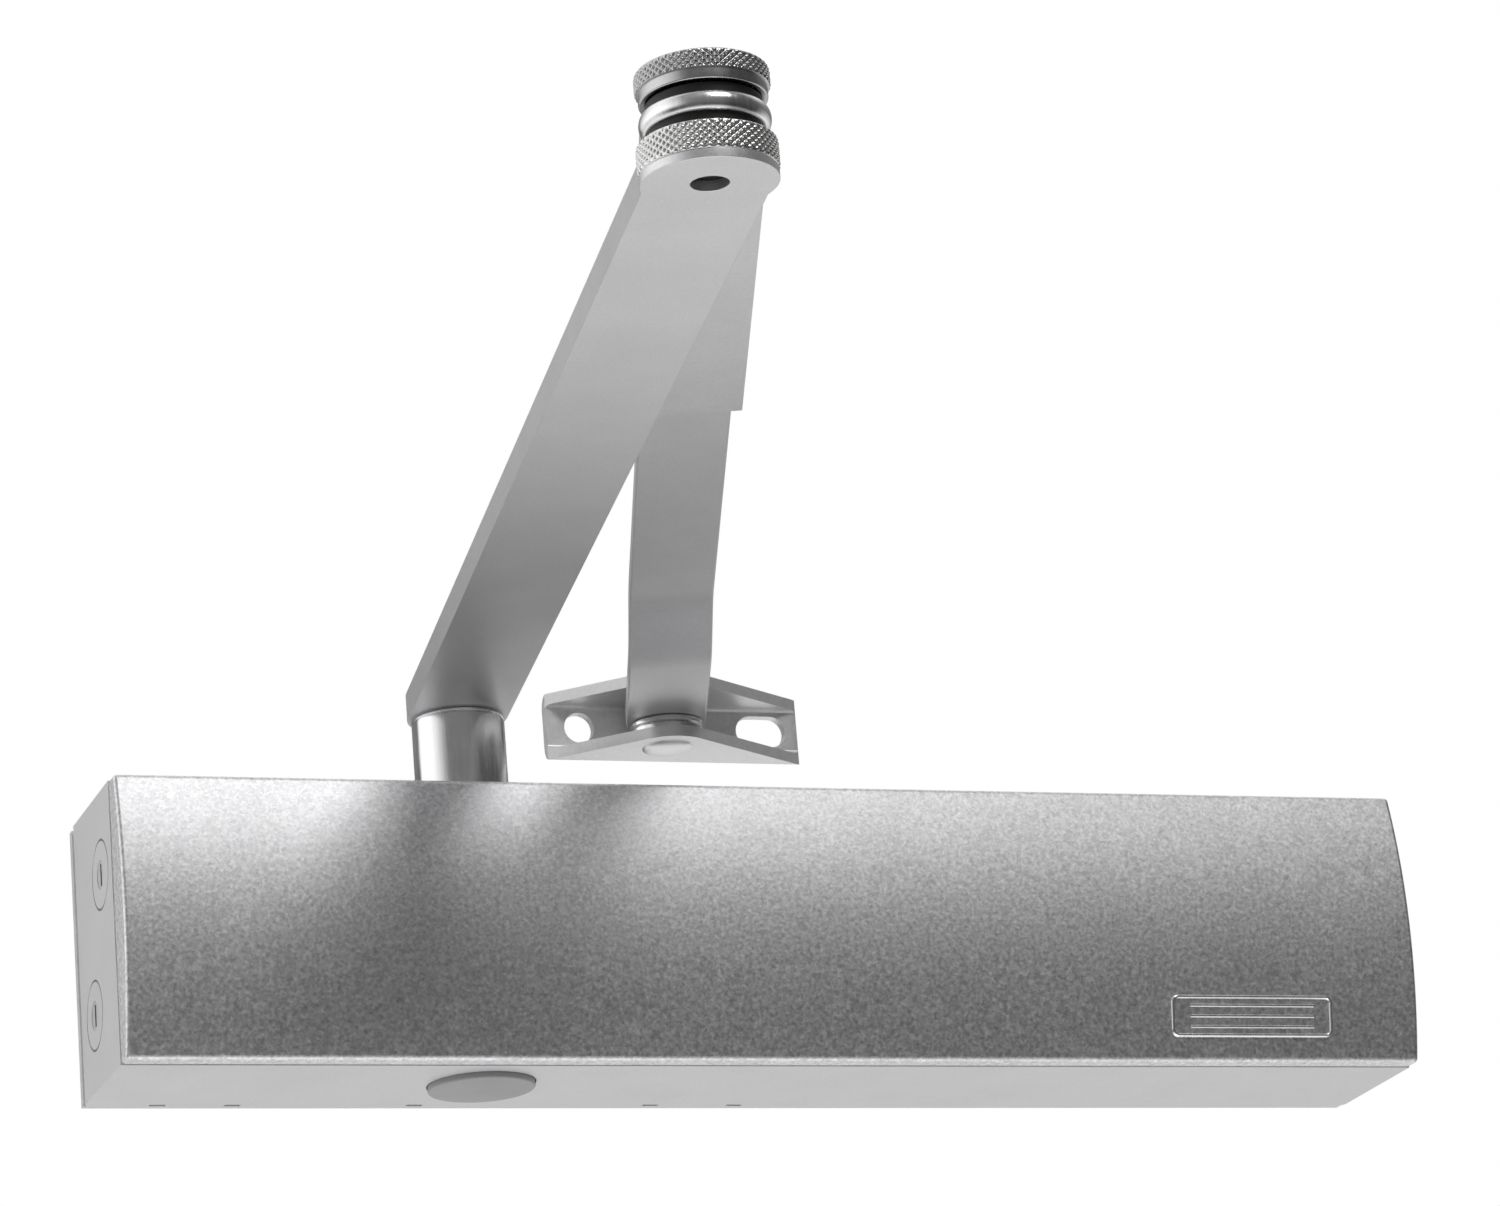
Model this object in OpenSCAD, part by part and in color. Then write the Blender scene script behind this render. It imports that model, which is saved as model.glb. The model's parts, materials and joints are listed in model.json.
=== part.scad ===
// Surface-mounted rack-and-pinion door closer with a hold-open scissor arm.
// Origin: centre of the face that lies on the door. +X right, +Y into the door, +Z up. Millimetres.

/* [Body] */
// Length of the body
body_l = 287; // [270:1:350]
// Height of the body
body_h = 60; // [60:1:80]
// Depth from the door face to the seam between housing and cover
seam_depth = 38; // [38:0.5:50]
// How far the housing's narrower front stands past the seam
nose_depth = 3; // [2.5:0.5:4]
// Thickness of the mounting plate
plate_t = 2; // [1.5:0.5:3]
// How far the mounting plate stays inside the housing's outline
plate_inset = 0.2; // [0.1:0.1:1]
// Radius of the rounded rear edges of the housing
rear_edge_r = 3; // [1:0.5:5]
// Thickness of the closed left end of the housing
end_wall = 24; // [22:1:30]

/* [Cover] */
// Depth of the cover's straight sides
cover_side = 5; // [4.5:0.5:8]
// How far the cover's front bulges
cover_bulge = 4; // [2:0.5:6]
// Wall thickness of the cover
cover_wall = 1.6; // [1:0.1:2]
// Width of the name plate
badge_w = 38; // [20:1:60]
// Height of the name plate
badge_h = 9; // [6:0.5:12]
// Distance from the body's right end to the name plate
badge_from_right = 20.5; // [15:0.5:60]
// Distance from the body's bottom to the name plate
badge_from_bottom = 5; // [3:0.5:20]
// Thickness of the name plate
badge_t = 0.6; // [0.4:0.1:1]

/* [Fixing screws] */
// Radius of the holes for the door screws
door_hole_r = 2.75; // [2.2:0.05:3.3]
// Distance from the body's ends to the door screw holes
door_hole_end = 12.5; // [11:0.5:16]
// Distance from the top and bottom to the screw holes
hole_edge = 8; // [7.5:0.5:9]
// Distance from the body's ends to the housing screws
housing_screw_end = 32; // [28:0.5:36]
// Radius of the housing screws
housing_screw_r = 2.5; // [2:0.1:3]
// Radius of the counterbores for screw heads
head_bore_r = 5; // [4.5:0.1:5.5]
// Depth of the counterbores for screw heads
head_bore_depth = 8; // [6:0.5:12]

/* [Cylinder] */
// Depth of the cylinder's axis and of the spindle
axis_depth = 22; // [21:0.5:24]
// Radius of the cylinder bore
bore_r = 16; // [15:0.25:16.5]
// Clearance round the piston
piston_gap = 0.03; // [0.01:0.01:0.05]
// Distance from the body's left end to the spindle
spindle_from_left = 80.5; // [80:0.5:110]
// Length of each of the piston's heads
piston_head = 14.5; // [12:0.5:18]
// Gap between the spring plate and the end plug
plate_travel = 13; // [9:0.5:20]
// Thickness of the spring plate
spring_plate_t = 6; // [4:0.5:8]
// Length of the end plug
plug_l = 19; // [15:0.5:24]
// Depth of the end plug's face inside the body's right end
plug_inset = 5.5; // [4:0.5:10]
// Radius added to the bore for the end plug's thread
plug_step = 1.2; // [0.8:0.1:1.6]
// Radius of the tension screw
tension_r = 4; // [3:0.25:5]

/* [Springs] */
// Wire radius of the main spring
main_wire_r = 2.4; // [2:0.1:2.6]
// Turns of the main spring
main_turns = 13; // [9:1:15]
// Wire radius of the inner spring
inner_wire_r = 1.4; // [1:0.1:1.5]
// Turns of the inner spring
inner_turns = 18; // [12:1:22]
// Clearance between springs and walls
spring_gap = 1.1; // [0.5:0.1:1.5]

/* [Spindle] */
// Gear module of the pinion
gear_module = 1.75; // [1.7:0.05:1.8]
// Teeth on the pinion
pinion_teeth = 10; // [10:1:10]
// Pressure angle of the teeth
pressure_angle = 25; // [25:1:27]
// Half of the pinion's height
pinion_half_h = 7; // [6:0.5:9]
// Play between the teeth, along the rack
tooth_play = 0.3; // [0.2:0.05:0.4]
// Largest turn of the spindle in degrees
spindle_turn = 170; // [120:5:170]
// Radius of the spindle's journals
journal_r = 7; // [6.5:0.1:7.1]
// Width of the spindle's square ends
square_w = 9.8; // [9:0.1:9.9]
// Height of each spindle bearing
bearing_h = 6.2; // [5:0.1:6.4]
// Outer radius of bearings, seals and bearing covers
bearing_r = 11.5; // [11.1:0.1:12]
// Height of each spindle seal
seal_h = 1.9; // [1.5:0.1:2]
// Height of each bearing cover
bearing_cover_h = 5.4; // [5:0.1:6]
// Radius of the bottom cap
cap_r = 11.3; // [10:0.1:11.4]
// How far the bottom cap stands out
cap_out = 1.5; // [0.5:0.1:3]

/* [Valves] */
// Radius of the regulating screws
valve_r = 3; // [2.5:0.1:3.5]
// Length of the regulating screws
valve_l = 17; // [15:0.5:17.5]
// Radius of the ring mark round each screw
ring_mark_r = 7.5; // [6:0.1:8]
// Width of the ring mark
ring_mark_w = 0.5; // [0.3:0.1:1]
// Depth of the ring mark
ring_mark_depth = 0.3; // [0.2:0.05:0.5]
// Length of the screwdriver slot
slot_mark_l = 4.7; // [4:0.1:5]
// Forward offset of the upper screw from the cylinder's axis
closing_forward = 5.5; // [3:0.5:6]
// Height of the upper screw over the cylinder's axis
closing_up = 12.9; // [10:0.1:13]
// Backward offset of the lower screw from the cylinder's axis
latching_back = 5; // [2:0.5:6]
// Depth of the lower screw under the cylinder's axis
latching_down = 14.3; // [10:0.1:14.5]

/* [Arms] */
// Distance between the main arm's two axes
main_arm_l = 296.7; // [270:0.1:360]
// Distance between the elbow and the bracket's pivot
forearm_l = 316.1; // [280:0.1:340]
// Width of the main arm
arm_w = 21.5; // [18:0.5:24]
// Thickness of the main arm
arm_t = 6; // [5:0.5:8]
// Radius of the main arm's eye at the elbow
arm_eye_r = 11.7; // [11:0.1:13]
// Thickness of the main arm's lip under the elbow disc
arm_lip = 1.6; // [1.2:0.1:2.5]
// Radius of the collar on the spindle
collar_r = 9.9; // [9.5:0.1:11]
// Height of the collar over the body
collar_h = 20; // [15:0.5:30]
// Width of the square that carries the main arm
arm_square_w = 12; // [10:0.1:13]
// Width of the forearm's sleeve
sleeve_w = 21; // [20:0.5:24]
// Thickness of the forearm's sleeve
sleeve_t = 6.8; // [6.6:0.1:8]
// Distance from the elbow to the sleeve's open end
sleeve_l = 131; // [120:1:160]
// Width of the sliding bar
bar_w = 17.4; // [14:0.1:18]
// Thickness of the sliding bar
bar_t = 4; // [3:0.1:4.2]
// Distance from the elbow to the bar's inner end
bar_start = 52; // [45:1:60]
// How far the bar steps down before the bracket
bar_drop = 5.8; // [3:0.1:7]
// Distance from the bracket's pivot to the near end of the step
step_near = 40; // [38:1:60]
// Length of the step
step_l = 34; // [20:1:50]

/* [Elbow] */
// Radius of the knurled disc on the main arm
disc_r = 11.9; // [11.5:0.1:13]
// Thickness of the knurled disc
disc_t = 5.4; // [5:0.1:7]
// Radius of the forearm's eye
waist_r = 11.1; // [10.8:0.1:12]
// Radius left inside the grooves over and under the forearm's eye
waist_neck_r = 9.8; // [9:0.1:10.5]
// Height of each groove over and under the forearm's eye
waist_groove_h = 1.6; // [0.8:0.1:2]
// Radius of the hold-open knob
knob_r = 11.4; // [11:0.1:13]
// Thickness of the hold-open knob
knob_t = 6; // [5:0.1:9]
// Height of the plain band under the knob's knurl
knob_band_h = 2; // [1:0.1:3]
// Radius of the elbow pin
elbow_pin_r = 4.5; // [4:0.1:5]
// Radius of the hole under the elbow
elbow_hole_r = 3.3; // [2.5:0.1:3.5]
// Grooves round each knurled edge
knurl_count = 60; // [40:2:80]
// Depth of the knurl
knurl_depth = 0.35; // [0.2:0.05:0.5]

/* [Bracket] */
// Distance from the spindle to the bracket's pivot, along the door
pivot_offset = 50; // [45:0.5:70]
// Distance from the frame's face to the bracket's pivot
pivot_depth = 13; // [12.5:0.5:16]
// Plate length on the round hole's side of the pivot
bracket_short = 24; // [22:0.5:30]
// Plate length on the slotted hole's side of the pivot
bracket_long = 34; // [32:0.5:45]
// Height of the bracket
bracket_h = 15; // [15:0.5:20]
// Sheet thickness of the bracket
bracket_t = 2.5; // [2:0.1:2.5]
// Radius of the flanges' rounded tips
flange_tip_r = 9; // [8:0.5:10]
// Radius of the round hole
round_hole_r = 3.4; // [2.5:0.1:3.6]
// Distance from the pivot to the round hole
round_hole_from_pivot = 16.5; // [15:0.5:18]
// Distance from the pivot to the slotted hole's centre
slot_from_pivot = 25.5; // [24:0.5:27]
// Length of the slotted hole
slot_l = 11.5; // [9:0.5:12]
// Width of the slotted hole
slot_w = 7; // [5:0.1:7.2]
// Radius of the rivet
rivet_r = 4; // [3:0.1:5]
// Radius of the rivet's heads
rivet_head_r = 5.6; // [5.5:0.1:7.5]
// Height of the rivet's heads
rivet_head_h = 1; // [0.6:0.1:2]
// Radius of the spacer bushes
bush_r = 8; // [7:0.1:8.5]

/* [Clearances] */
// Clearance round a turning or sliding fit
fit_gap = 0.05; // [0.02:0.01:0.08]
// Gap between pieces that don't touch
free_gap = 0.3; // [0.2:0.05:0.4]
// Clearance between screws and the threads that hold them
thread_gap = 0.02; // [0.01:0.01:0.04]

/* [Hidden] */
$fn = 96;
cut = 1; // how far a cutting shape runs past the face it opens
half_l = body_l / 2;
half_h = body_h / 2;
nose_y = -(seam_depth + nose_depth);
cover_edge_y = -(seam_depth + 0.2);
cover_flat_y = -(seam_depth + cover_side);
cover_front_y = cover_flat_y - cover_bulge;
cover_r = (half_h * half_h + cover_bulge * cover_bulge) / (2 * cover_bulge);
cover_centre_y = cover_front_y + cover_r;
nose_inset = cover_wall + free_gap;
axis_y = -axis_depth;
spindle_x = spindle_from_left - half_l;

pitch_r = gear_module * pinion_teeth / 2;
tooth_pitch = PI * gear_module;
rack_addendum = 0.8 * gear_module;
rack_dedendum = 1.25 * gear_module;
pinion_tip_r = pitch_r + 0.94 * gear_module;
pinion_root_r = pitch_r - 1.25 * gear_module;
base_r = pitch_r * cos(pressure_angle);
rack_travel = pitch_r * spindle_turn * PI / 180;
window_end_gap = 1.1;
window_right = spindle_x + pinion_tip_r + window_end_gap;
window_left = spindle_x - rack_travel - pinion_tip_r - window_end_gap;
piston_left = window_left - piston_head;
piston_right = window_right + piston_head;
bore_left = end_wall - half_l;
piston_r = bore_r - piston_gap;

plug_right = half_l - plug_inset;
plug_left = plug_right - plug_l;
plug_r = bore_r + plug_step;
spring_plate_left = plug_left - plate_travel - spring_plate_t;
main_spring_r = bore_r - spring_gap - main_wire_r;
inner_spring_r = main_spring_r - main_wire_r - spring_gap - inner_wire_r;

bearing_cover_top = half_h - 0.1;
bearing_cover_low = bearing_cover_top - bearing_cover_h;
seal_low = bearing_cover_low - 0.1 - seal_h;
bearing_low = seal_low - 0.1 - bearing_h;
bearing_cover_bore_r = 8.9;
neck_r = bearing_cover_bore_r - free_gap;
square_top = half_h - 1;
square_low = bearing_cover_low;
cap_seat = half_h - 1.8;
cap_bottom = half_h + cap_out;
arm_screw_r = 3;
arm_screw_depth = 14;

arm_z = half_h + collar_h;
arm_top = arm_z + arm_t;
disc_z = arm_z + arm_lip;
disc_top = disc_z + disc_t;
sleeve_z = disc_top + free_gap;
sleeve_top = sleeve_z + sleeve_t;
knob_z = sleeve_top + free_gap;
knob_top = knob_z + knob_t;
bar_z = sleeve_z + (sleeve_t - bar_t) / 2;
bar_end_z = bar_z - bar_drop;
sleeve_cavity_t = bar_t + 2 * 0.1;
sleeve_cavity_start = 28;
clamp_at = sleeve_l - 18;
clamp_r = 2.5;
waist_groove_r = 13.5;
washer_t = 1.2;
elbow_bush_r = elbow_pin_r + 1.5;

spindle_pt = [spindle_x, axis_y];
pivot_pt = [spindle_x + pivot_offset, -pivot_depth];
reach = norm(pivot_pt - spindle_pt);
along = (main_arm_l * main_arm_l - forearm_l * forearm_l + reach * reach) / (2 * reach);
across = sqrt(main_arm_l * main_arm_l - along * along);
reach_dir = (pivot_pt - spindle_pt) / reach;
elbow_pt = spindle_pt + along * reach_dir + across * [reach_dir.y, -reach_dir.x];
main_arm_turn = atan2(elbow_pt.y - spindle_pt.y, elbow_pt.x - spindle_pt.x);
forearm_turn = atan2(pivot_pt.y - elbow_pt.y, pivot_pt.x - elbow_pt.x);

bracket_mid_z = bar_end_z + bar_t / 2;
bracket_z = bracket_mid_z - bracket_h / 2;
bracket_top = bracket_z + bracket_h;
flange_low_top = bracket_z + bracket_t;
flange_high_low = bracket_top - bracket_t;

closing_y = axis_y - closing_forward;
latching_y = axis_y + latching_back;
valve_inset = 0.15;
valve_tip_r = 1.6;
valve_tip_l = 4;
valve_ring_at = 6;
valve_ring_w = 1.8;
passage_r = 1.2;
notch_xs = [-128, -112, -72.5, -20, -1];
notch_w = 3.5;
notch_h = 2.5;
notch_d = 2.2;
clip_xs = [-100, 30, 110];

// ---- shared shapes ----

// a cylinder along X, starting at x
module rod_x(x, length, r, y = 0, z = 0) {
    translate([x, y, z]) rotate([0, 90, 0]) cylinder(h = length, r = r);
}

// a cylinder along Y, from the low y to the high y
module rod_y(low, high, r, x = 0, z = 0) {
    translate([x, high, z]) rotate([90, 0, 0]) cylinder(h = high - low, r = r);
}

module ring(low, high, inner_r, outer_r) {
    translate([0, 0, low]) difference() {
        cylinder(h = high - low, r = outer_r);
        translate([0, 0, -cut]) cylinder(h = high - low + 2 * cut, r = inner_r);
    }
}

module square_prism(low, high, width) {
    translate([-width / 2, -width / 2, low]) cube([width, width, high - low]);
}

module at_spindle() {
    translate([spindle_pt.x, spindle_pt.y, 0]) children();
}

module at_elbow() {
    translate([elbow_pt.x, elbow_pt.y, 0]) children();
}

module at_pivot() {
    translate([pivot_pt.x, pivot_pt.y, 0]) children();
}

module four_corners(from_end) {
    for (sx = [-1, 1], sz = [-1, 1])
        translate([sx * (half_l - from_end), 0, sz * (half_h - hole_edge)]) children();
}

// a toothed outline: grooves all round an edge
module knurled_outline(r) {
    step = 180 / knurl_count;
    polygon([for (i = [0 : 2 * knurl_count - 1])
        (i % 2 == 0 ? r : r - knurl_depth) * [cos(i * step), sin(i * step)]]);
}

module knurled_ring(low, high, inner_r, outer_r) {
    edge = 0.8;
    difference() {
        union() {
            translate([0, 0, low + edge]) linear_extrude(high - low - 2 * edge)
                knurled_outline(outer_r);
            translate([0, 0, low]) cylinder(h = high - low, r = outer_r - 1.2 * knurl_depth);
        }
        translate([0, 0, low - cut]) cylinder(h = high - low + 2 * cut, r = inner_r);
    }
}

// the cover's cross-section, made smaller by inset; x is the depth, y the height
module cover_section(inset, back_y) {
    intersection() {
        translate([-cover_front_y - body_h, -half_h + inset])
            square([body_h + cover_bulge, body_h - 2 * inset]);
        translate([-cover_centre_y, 0]) circle(r = cover_r - inset, $fn = 360);
        translate([-back_y, -half_h]) square([body_h, body_h]);
    }
}

// stands a depth-by-height outline up and stretches it along X
module along_x(from_x, length) {
    translate([from_x, 0, 0]) rotate([90, 0, 90]) linear_extrude(length)
        mirror([1, 0]) children();
}

// ---- housing group ----

module mounting_plate() color("darkgray") difference() {
    translate([-half_l + plate_inset, -plate_t, -half_h + plate_inset])
        cube([body_l - 2 * plate_inset, plate_t, body_h - 2 * plate_inset]);
    four_corners(door_hole_end) rod_y(-plate_t - cut, cut, door_hole_r);
    four_corners(housing_screw_end)
        rod_y(-plate_t - cut, cut, housing_screw_r + thread_gap);
}

module housing_block() {
    length = seam_depth - plate_t;
    translate([-half_l, -seam_depth, -half_h])
        cube([body_l, length - rear_edge_r, body_h]);
    translate([-half_l + rear_edge_r, -seam_depth, -half_h])
        cube([body_l - 2 * rear_edge_r, length, body_h]);
    for (sx = [-1, 1])
        translate([sx * (half_l - rear_edge_r), -plate_t - rear_edge_r, -half_h])
            cylinder(h = body_h, r = rear_edge_r);
    translate([-half_l + nose_inset, nose_y, -half_h + nose_inset])
        cube([body_l - 2 * nose_inset, nose_depth + cut, body_h - 2 * nose_inset]);
}

module valve_hole(y, z) {
    rod_x(-half_l - cut, valve_l + valve_inset + cut - valve_tip_l, valve_r + fit_gap, y, z);
    rod_x(-half_l, valve_l + valve_inset, valve_tip_r + fit_gap, y, z);
    rod_x(-half_l, end_wall + cut, passage_r, y, z);
    difference() {
        rod_x(-half_l - cut, cut + ring_mark_depth, ring_mark_r, y, z);
        rod_x(-half_l - cut, cut + ring_mark_depth, ring_mark_r - ring_mark_w, y, z);
    }
}

module housing() color("silver") difference() {
    housing_block();
    rod_x(bore_left, body_l, bore_r, axis_y);
    rod_x(plug_left - 1, body_l, plug_r + thread_gap, axis_y);
    at_spindle() translate([0, 0, -half_h - cut])
        cylinder(h = body_h + 2 * cut, r = bearing_r + fit_gap);
    four_corners(door_hole_end) rod_y(nose_y - cut, 0, door_hole_r);
    four_corners(door_hole_end) rod_y(nose_y - cut, nose_y + head_bore_depth, head_bore_r);
    four_corners(housing_screw_end) rod_y(nose_y - cut, 0, housing_screw_r + 0.2);
    four_corners(housing_screw_end)
        rod_y(nose_y - cut, nose_y + head_bore_depth, head_bore_r);
    valve_hole(closing_y, closing_up);
    valve_hole(latching_y, -latching_down);
    for (x = notch_xs)
        translate([x - notch_w / 2, -plate_t - notch_d, -half_h - cut])
            cube([notch_w, notch_d + cut, notch_h + cut]);
}

module front_cover() color("silver") difference() {
    along_x(-half_l, body_l) cover_section(0, cover_edge_y);
    along_x(-half_l + cover_wall, body_l - 2 * cover_wall)
        cover_section(cover_wall, cover_edge_y + cut);
}

module badge_section(low_r, high_r, low_z, high_z) {
    intersection() {
        difference() {
            translate([-cover_centre_y, 0]) circle(r = high_r, $fn = 360);
            translate([-cover_centre_y, 0]) circle(r = low_r, $fn = 360);
        }
        translate([0, low_z]) square([body_h + seam_depth, high_z - low_z]);
    }
}

module name_plate() color("silver") difference() {
    left = half_l - badge_from_right - badge_w;
    low = -half_h + badge_from_bottom;
    rim = 0.8;
    along_x(left, badge_w)
        badge_section(cover_r, cover_r + badge_t, low, low + badge_h);
    along_x(left + rim, badge_w - 2 * rim)
        badge_section(cover_r + badge_t / 2, cover_r + 2 * badge_t, low + rim, low + badge_h - rim);
}

module cover_clips() color("gainsboro") for (x = clip_xs) {
    width = 14;
    sheet = 0.8;
    height = 20;
    depth = -cover_front_y + nose_y - cover_wall - 0.8;
    translate([x - width / 2, nose_y - sheet, -height / 2]) cube([width, sheet, height]);
    for (sz = [-1, 1])
        translate([x - width / 2, nose_y - depth, sz * (height - sheet) / 2 - sheet / 2])
            cube([width, depth, sheet]);
}

module housing_screws() color("dimgray") four_corners(housing_screw_end) {
    head_h = 5;
    seat_y = nose_y + head_bore_depth;
    difference() {
        union() {
            rod_y(seat_y, -0.2, housing_screw_r);
            rod_y(seat_y - head_h, seat_y, head_bore_r - 0.7);
        }
        translate([0, seat_y - head_h + 3, 0]) rotate([90, 0, 0])
            cylinder(h = 3 + cut, r = 2.3, $fn = 6);
    }
}

// ---- spindle bearings, mirrored top and bottom ----

module bearing(side) color("lightsteelblue") at_spindle() mirror([0, 0, side])
    ring(bearing_low, bearing_low + bearing_h, journal_r + fit_gap, bearing_r);

module seal(side) color("black") at_spindle() mirror([0, 0, side])
    ring(seal_low, seal_low + seal_h, journal_r + fit_gap, bearing_r);

module bearing_cover(side) color("gray") at_spindle() mirror([0, 0, side]) {
    top = side == 0 ? bearing_cover_top : cap_seat - 0.2;
    difference() {
        ring(bearing_cover_low, top, bearing_cover_bore_r, bearing_r);
        for (turn = [0 : 90 : 270])
            rotate(turn) translate([(bearing_cover_bore_r + bearing_r) / 2, 0, top - 1.5])
                cylinder(h = 1.5 + cut, r = 0.8);
    }
}

module bearing_top() bearing(0);
module bearing_bottom() bearing(1);
module seal_top() seal(0);
module seal_bottom() seal(1);
module bearing_cover_top() bearing_cover(0);
module bearing_cover_bottom() bearing_cover(1);

module bottom_cap() color("slategray") at_spindle() mirror([0, 0, 1]) {
    skirt_r = bearing_cover_bore_r - 0.1;
    wall = 1.1;
    hollow_top = square_top + 0.4;
    difference() {
        union() {
            translate([0, 0, cap_seat]) cylinder(h = cap_bottom - cap_seat, r = cap_r);
            translate([0, 0, bearing_cover_low + 1])
                cylinder(h = cap_seat - bearing_cover_low - 1 + 0.2, r = skirt_r);
        }
        translate([0, 0, bearing_cover_low])
            cylinder(h = hollow_top - bearing_cover_low, r = skirt_r - wall);
    }
}

// ---- right end: plug, spring plate, tension screw ----

module end_plug() color("gray") difference() {
    groove_x = plug_left + 3;
    pin_hole_at = (tension_r + plug_r) / 2;
    rod_x(plug_left, plug_l, plug_r, axis_y);
    rod_x(plug_left - cut, plug_l + 2 * cut, tension_r + fit_gap, axis_y);
    difference() {
        rod_x(groove_x, 2.4, plug_r + cut, axis_y);
        rod_x(groove_x, 2.4, plug_r - 1.8, axis_y);
    }
    for (side = [-1, 1])
        rod_x(plug_right - 5, 5 + cut, 2, axis_y + side * pin_hole_at);
}

module end_plug_seal() color("black")
    translate([plug_left + 4.2, axis_y, 0]) rotate([0, 90, 0])
        rotate_extrude() translate([plug_r - 0.9, 0]) circle(r = 0.85, $fn = 32);

module spring_plate() color("darkgray") difference() {
    union() {
        rod_x(spring_plate_left, spring_plate_t, bore_r - free_gap, axis_y);
        rod_x(spring_plate_left - 3, 3, inner_spring_r - inner_wire_r - 0.5, axis_y);
    }
    rod_x(spring_plate_left - 3 - cut, spring_plate_t + 3 + 2 * cut, tension_r + fit_gap, axis_y);
}

module tension_screw() color("dimgray") difference() {
    socket = 5;
    rod_x(spring_plate_left - 8, plug_right - spring_plate_left + 6, tension_r, axis_y);
    translate([plug_right - 2 - socket, axis_y, 0]) rotate([0, 90, 0])
        cylinder(h = socket + cut, r = tension_r * 0.65, $fn = 6);
}

// ---- springs: round wire swept along a helix ----

// one point of the wire: t runs along the coil, a goes round the wire
function wire_point(x, length, coil_r, wire_r, turns, t, a) =
    let (turn = 360 * turns * t, r = coil_r + wire_r * cos(a))
    [x + wire_r + (length - 2 * wire_r) * t + wire_r * sin(a),
     axis_y + r * cos(turn), r * sin(turn)];

module coil_spring(x, length, coil_r, wire_r, turns, steps, sides) {
    rings = turns * steps;
    points = [for (i = [0 : rings], j = [0 : sides - 1])
        wire_point(x, length, coil_r, wire_r, turns, i / rings, j * 360 / sides)];
    walls = [for (i = [0 : rings - 1], j = [0 : sides - 1])
        let (k = (j + 1) % sides, a = i * sides, b = a + sides)
        each [[a + j, b + j, b + k], [a + j, b + k, a + k]]];
    ends = [[for (j = [0 : sides - 1]) j],
            [for (j = [sides - 1 : -1 : 0]) rings * sides + j]];
    polyhedron(points, concat(walls, ends));
}

module main_spring() color("steelblue")
    coil_spring(piston_right + 0.05, spring_plate_left - piston_right - 0.1,
        main_spring_r, main_wire_r, main_turns, 18, 8);

module inner_spring() color("steelblue")
    coil_spring(piston_right + 0.05, spring_plate_left - piston_right - 0.1,
        inner_spring_r, inner_wire_r, inner_turns, 14, 6);

// ---- piston with rack, check valve ----

// the space between two rack teeth, wider towards the pinion; x along the rack
module rack_space() {
    slope = tan(pressure_angle);
    half = tooth_pitch / 4 + tooth_play / 4;
    polygon([[-half - slope * (rack_addendum + cut), rack_addendum + cut],
             [half + slope * (rack_addendum + cut), rack_addendum + cut],
             [half - slope * rack_dedendum, -rack_dedendum],
             [-half + slope * rack_dedendum, -rack_dedendum]]);
}

module piston() color("lightgray") difference() {
    first = floor((spindle_x - window_left) / tooth_pitch);
    back = pinion_tip_r + 0.6;
    tip_line = pitch_r - rack_addendum;
    rod_x(piston_left, piston_right - piston_left, piston_r, axis_y);
    translate([window_left, axis_y - tip_line, -bore_r - cut])
        cube([window_right - window_left, tip_line + back, 2 * (bore_r + cut)]);
    for (i = [-first : 1])
        translate([spindle_x + i * tooth_pitch, axis_y - pitch_r, -bore_r - cut])
            linear_extrude(2 * (bore_r + cut)) rack_space();
    rod_x(window_right - cut, piston_head + 2 * cut, 3 + thread_gap, axis_y);
    difference() {
        rod_x(piston_left + 4, 3, bore_r + cut, axis_y);
        rod_x(piston_left + 4, 3, bore_r - 1.2, axis_y);
    }
}

module check_valve() color("goldenrod") difference() {
    rod_x(window_right + 1, piston_head - 2, 3, axis_y);
    rod_x(window_right, piston_head, 1, axis_y);
    rod_x(window_right + 3, piston_head, 2.1, axis_y);
}

module check_ball() color("silver")
    translate([window_right + 5.4, axis_y, 0]) sphere(r = 1.9);

// ---- regulating screws ----

module valve(y, z) {
    body = valve_l - valve_tip_l;
    start = -half_l + valve_inset;
    blade_w = 1.2;
    blade_depth = 1.6;
    difference() {
        union() {
            rod_x(start, body - 0.2, valve_r, y, z);
            rod_x(start, valve_l - 0.4, valve_tip_r, y, z);
        }
        translate([start - cut, y - blade_w / 2, z - slot_mark_l / 2])
            cube([blade_depth + cut, blade_w, slot_mark_l]);
        difference() {
            rod_x(start + valve_ring_at, valve_ring_w, valve_r + cut, y, z);
            rod_x(start + valve_ring_at, valve_ring_w, valve_r - 1, y, z);
        }
    }
}

module valve_seal(y, z) {
    translate([-half_l + valve_inset + valve_ring_at + valve_ring_w / 2, y, z])
        rotate([0, 90, 0]) rotate_extrude() translate([valve_r - 0.49, 0])
            circle(r = 0.46, $fn = 32);
}

module closing_valve() color("dimgray") valve(closing_y, closing_up);
module latching_valve() color("dimgray") valve(latching_y, -latching_down);
module closing_valve_seal() color("black") valve_seal(closing_y, closing_up);
module latching_valve_seal() color("black") valve_seal(latching_y, -latching_down);

// ---- spindle group ----

function involute(a) = tan(a) * 180 / PI - a;
// half of a tooth's angle at radius r
function half_tooth(r) =
    (tooth_pitch / 2 - tooth_play / 2) / pitch_r * 90 / PI
    + involute(pressure_angle) - involute(acos(min(1, base_r / r)));
flank_steps = 6;
flank_rs = [for (i = [0 : flank_steps]) base_r + (pinion_tip_r - base_r) * i / flank_steps];

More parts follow.
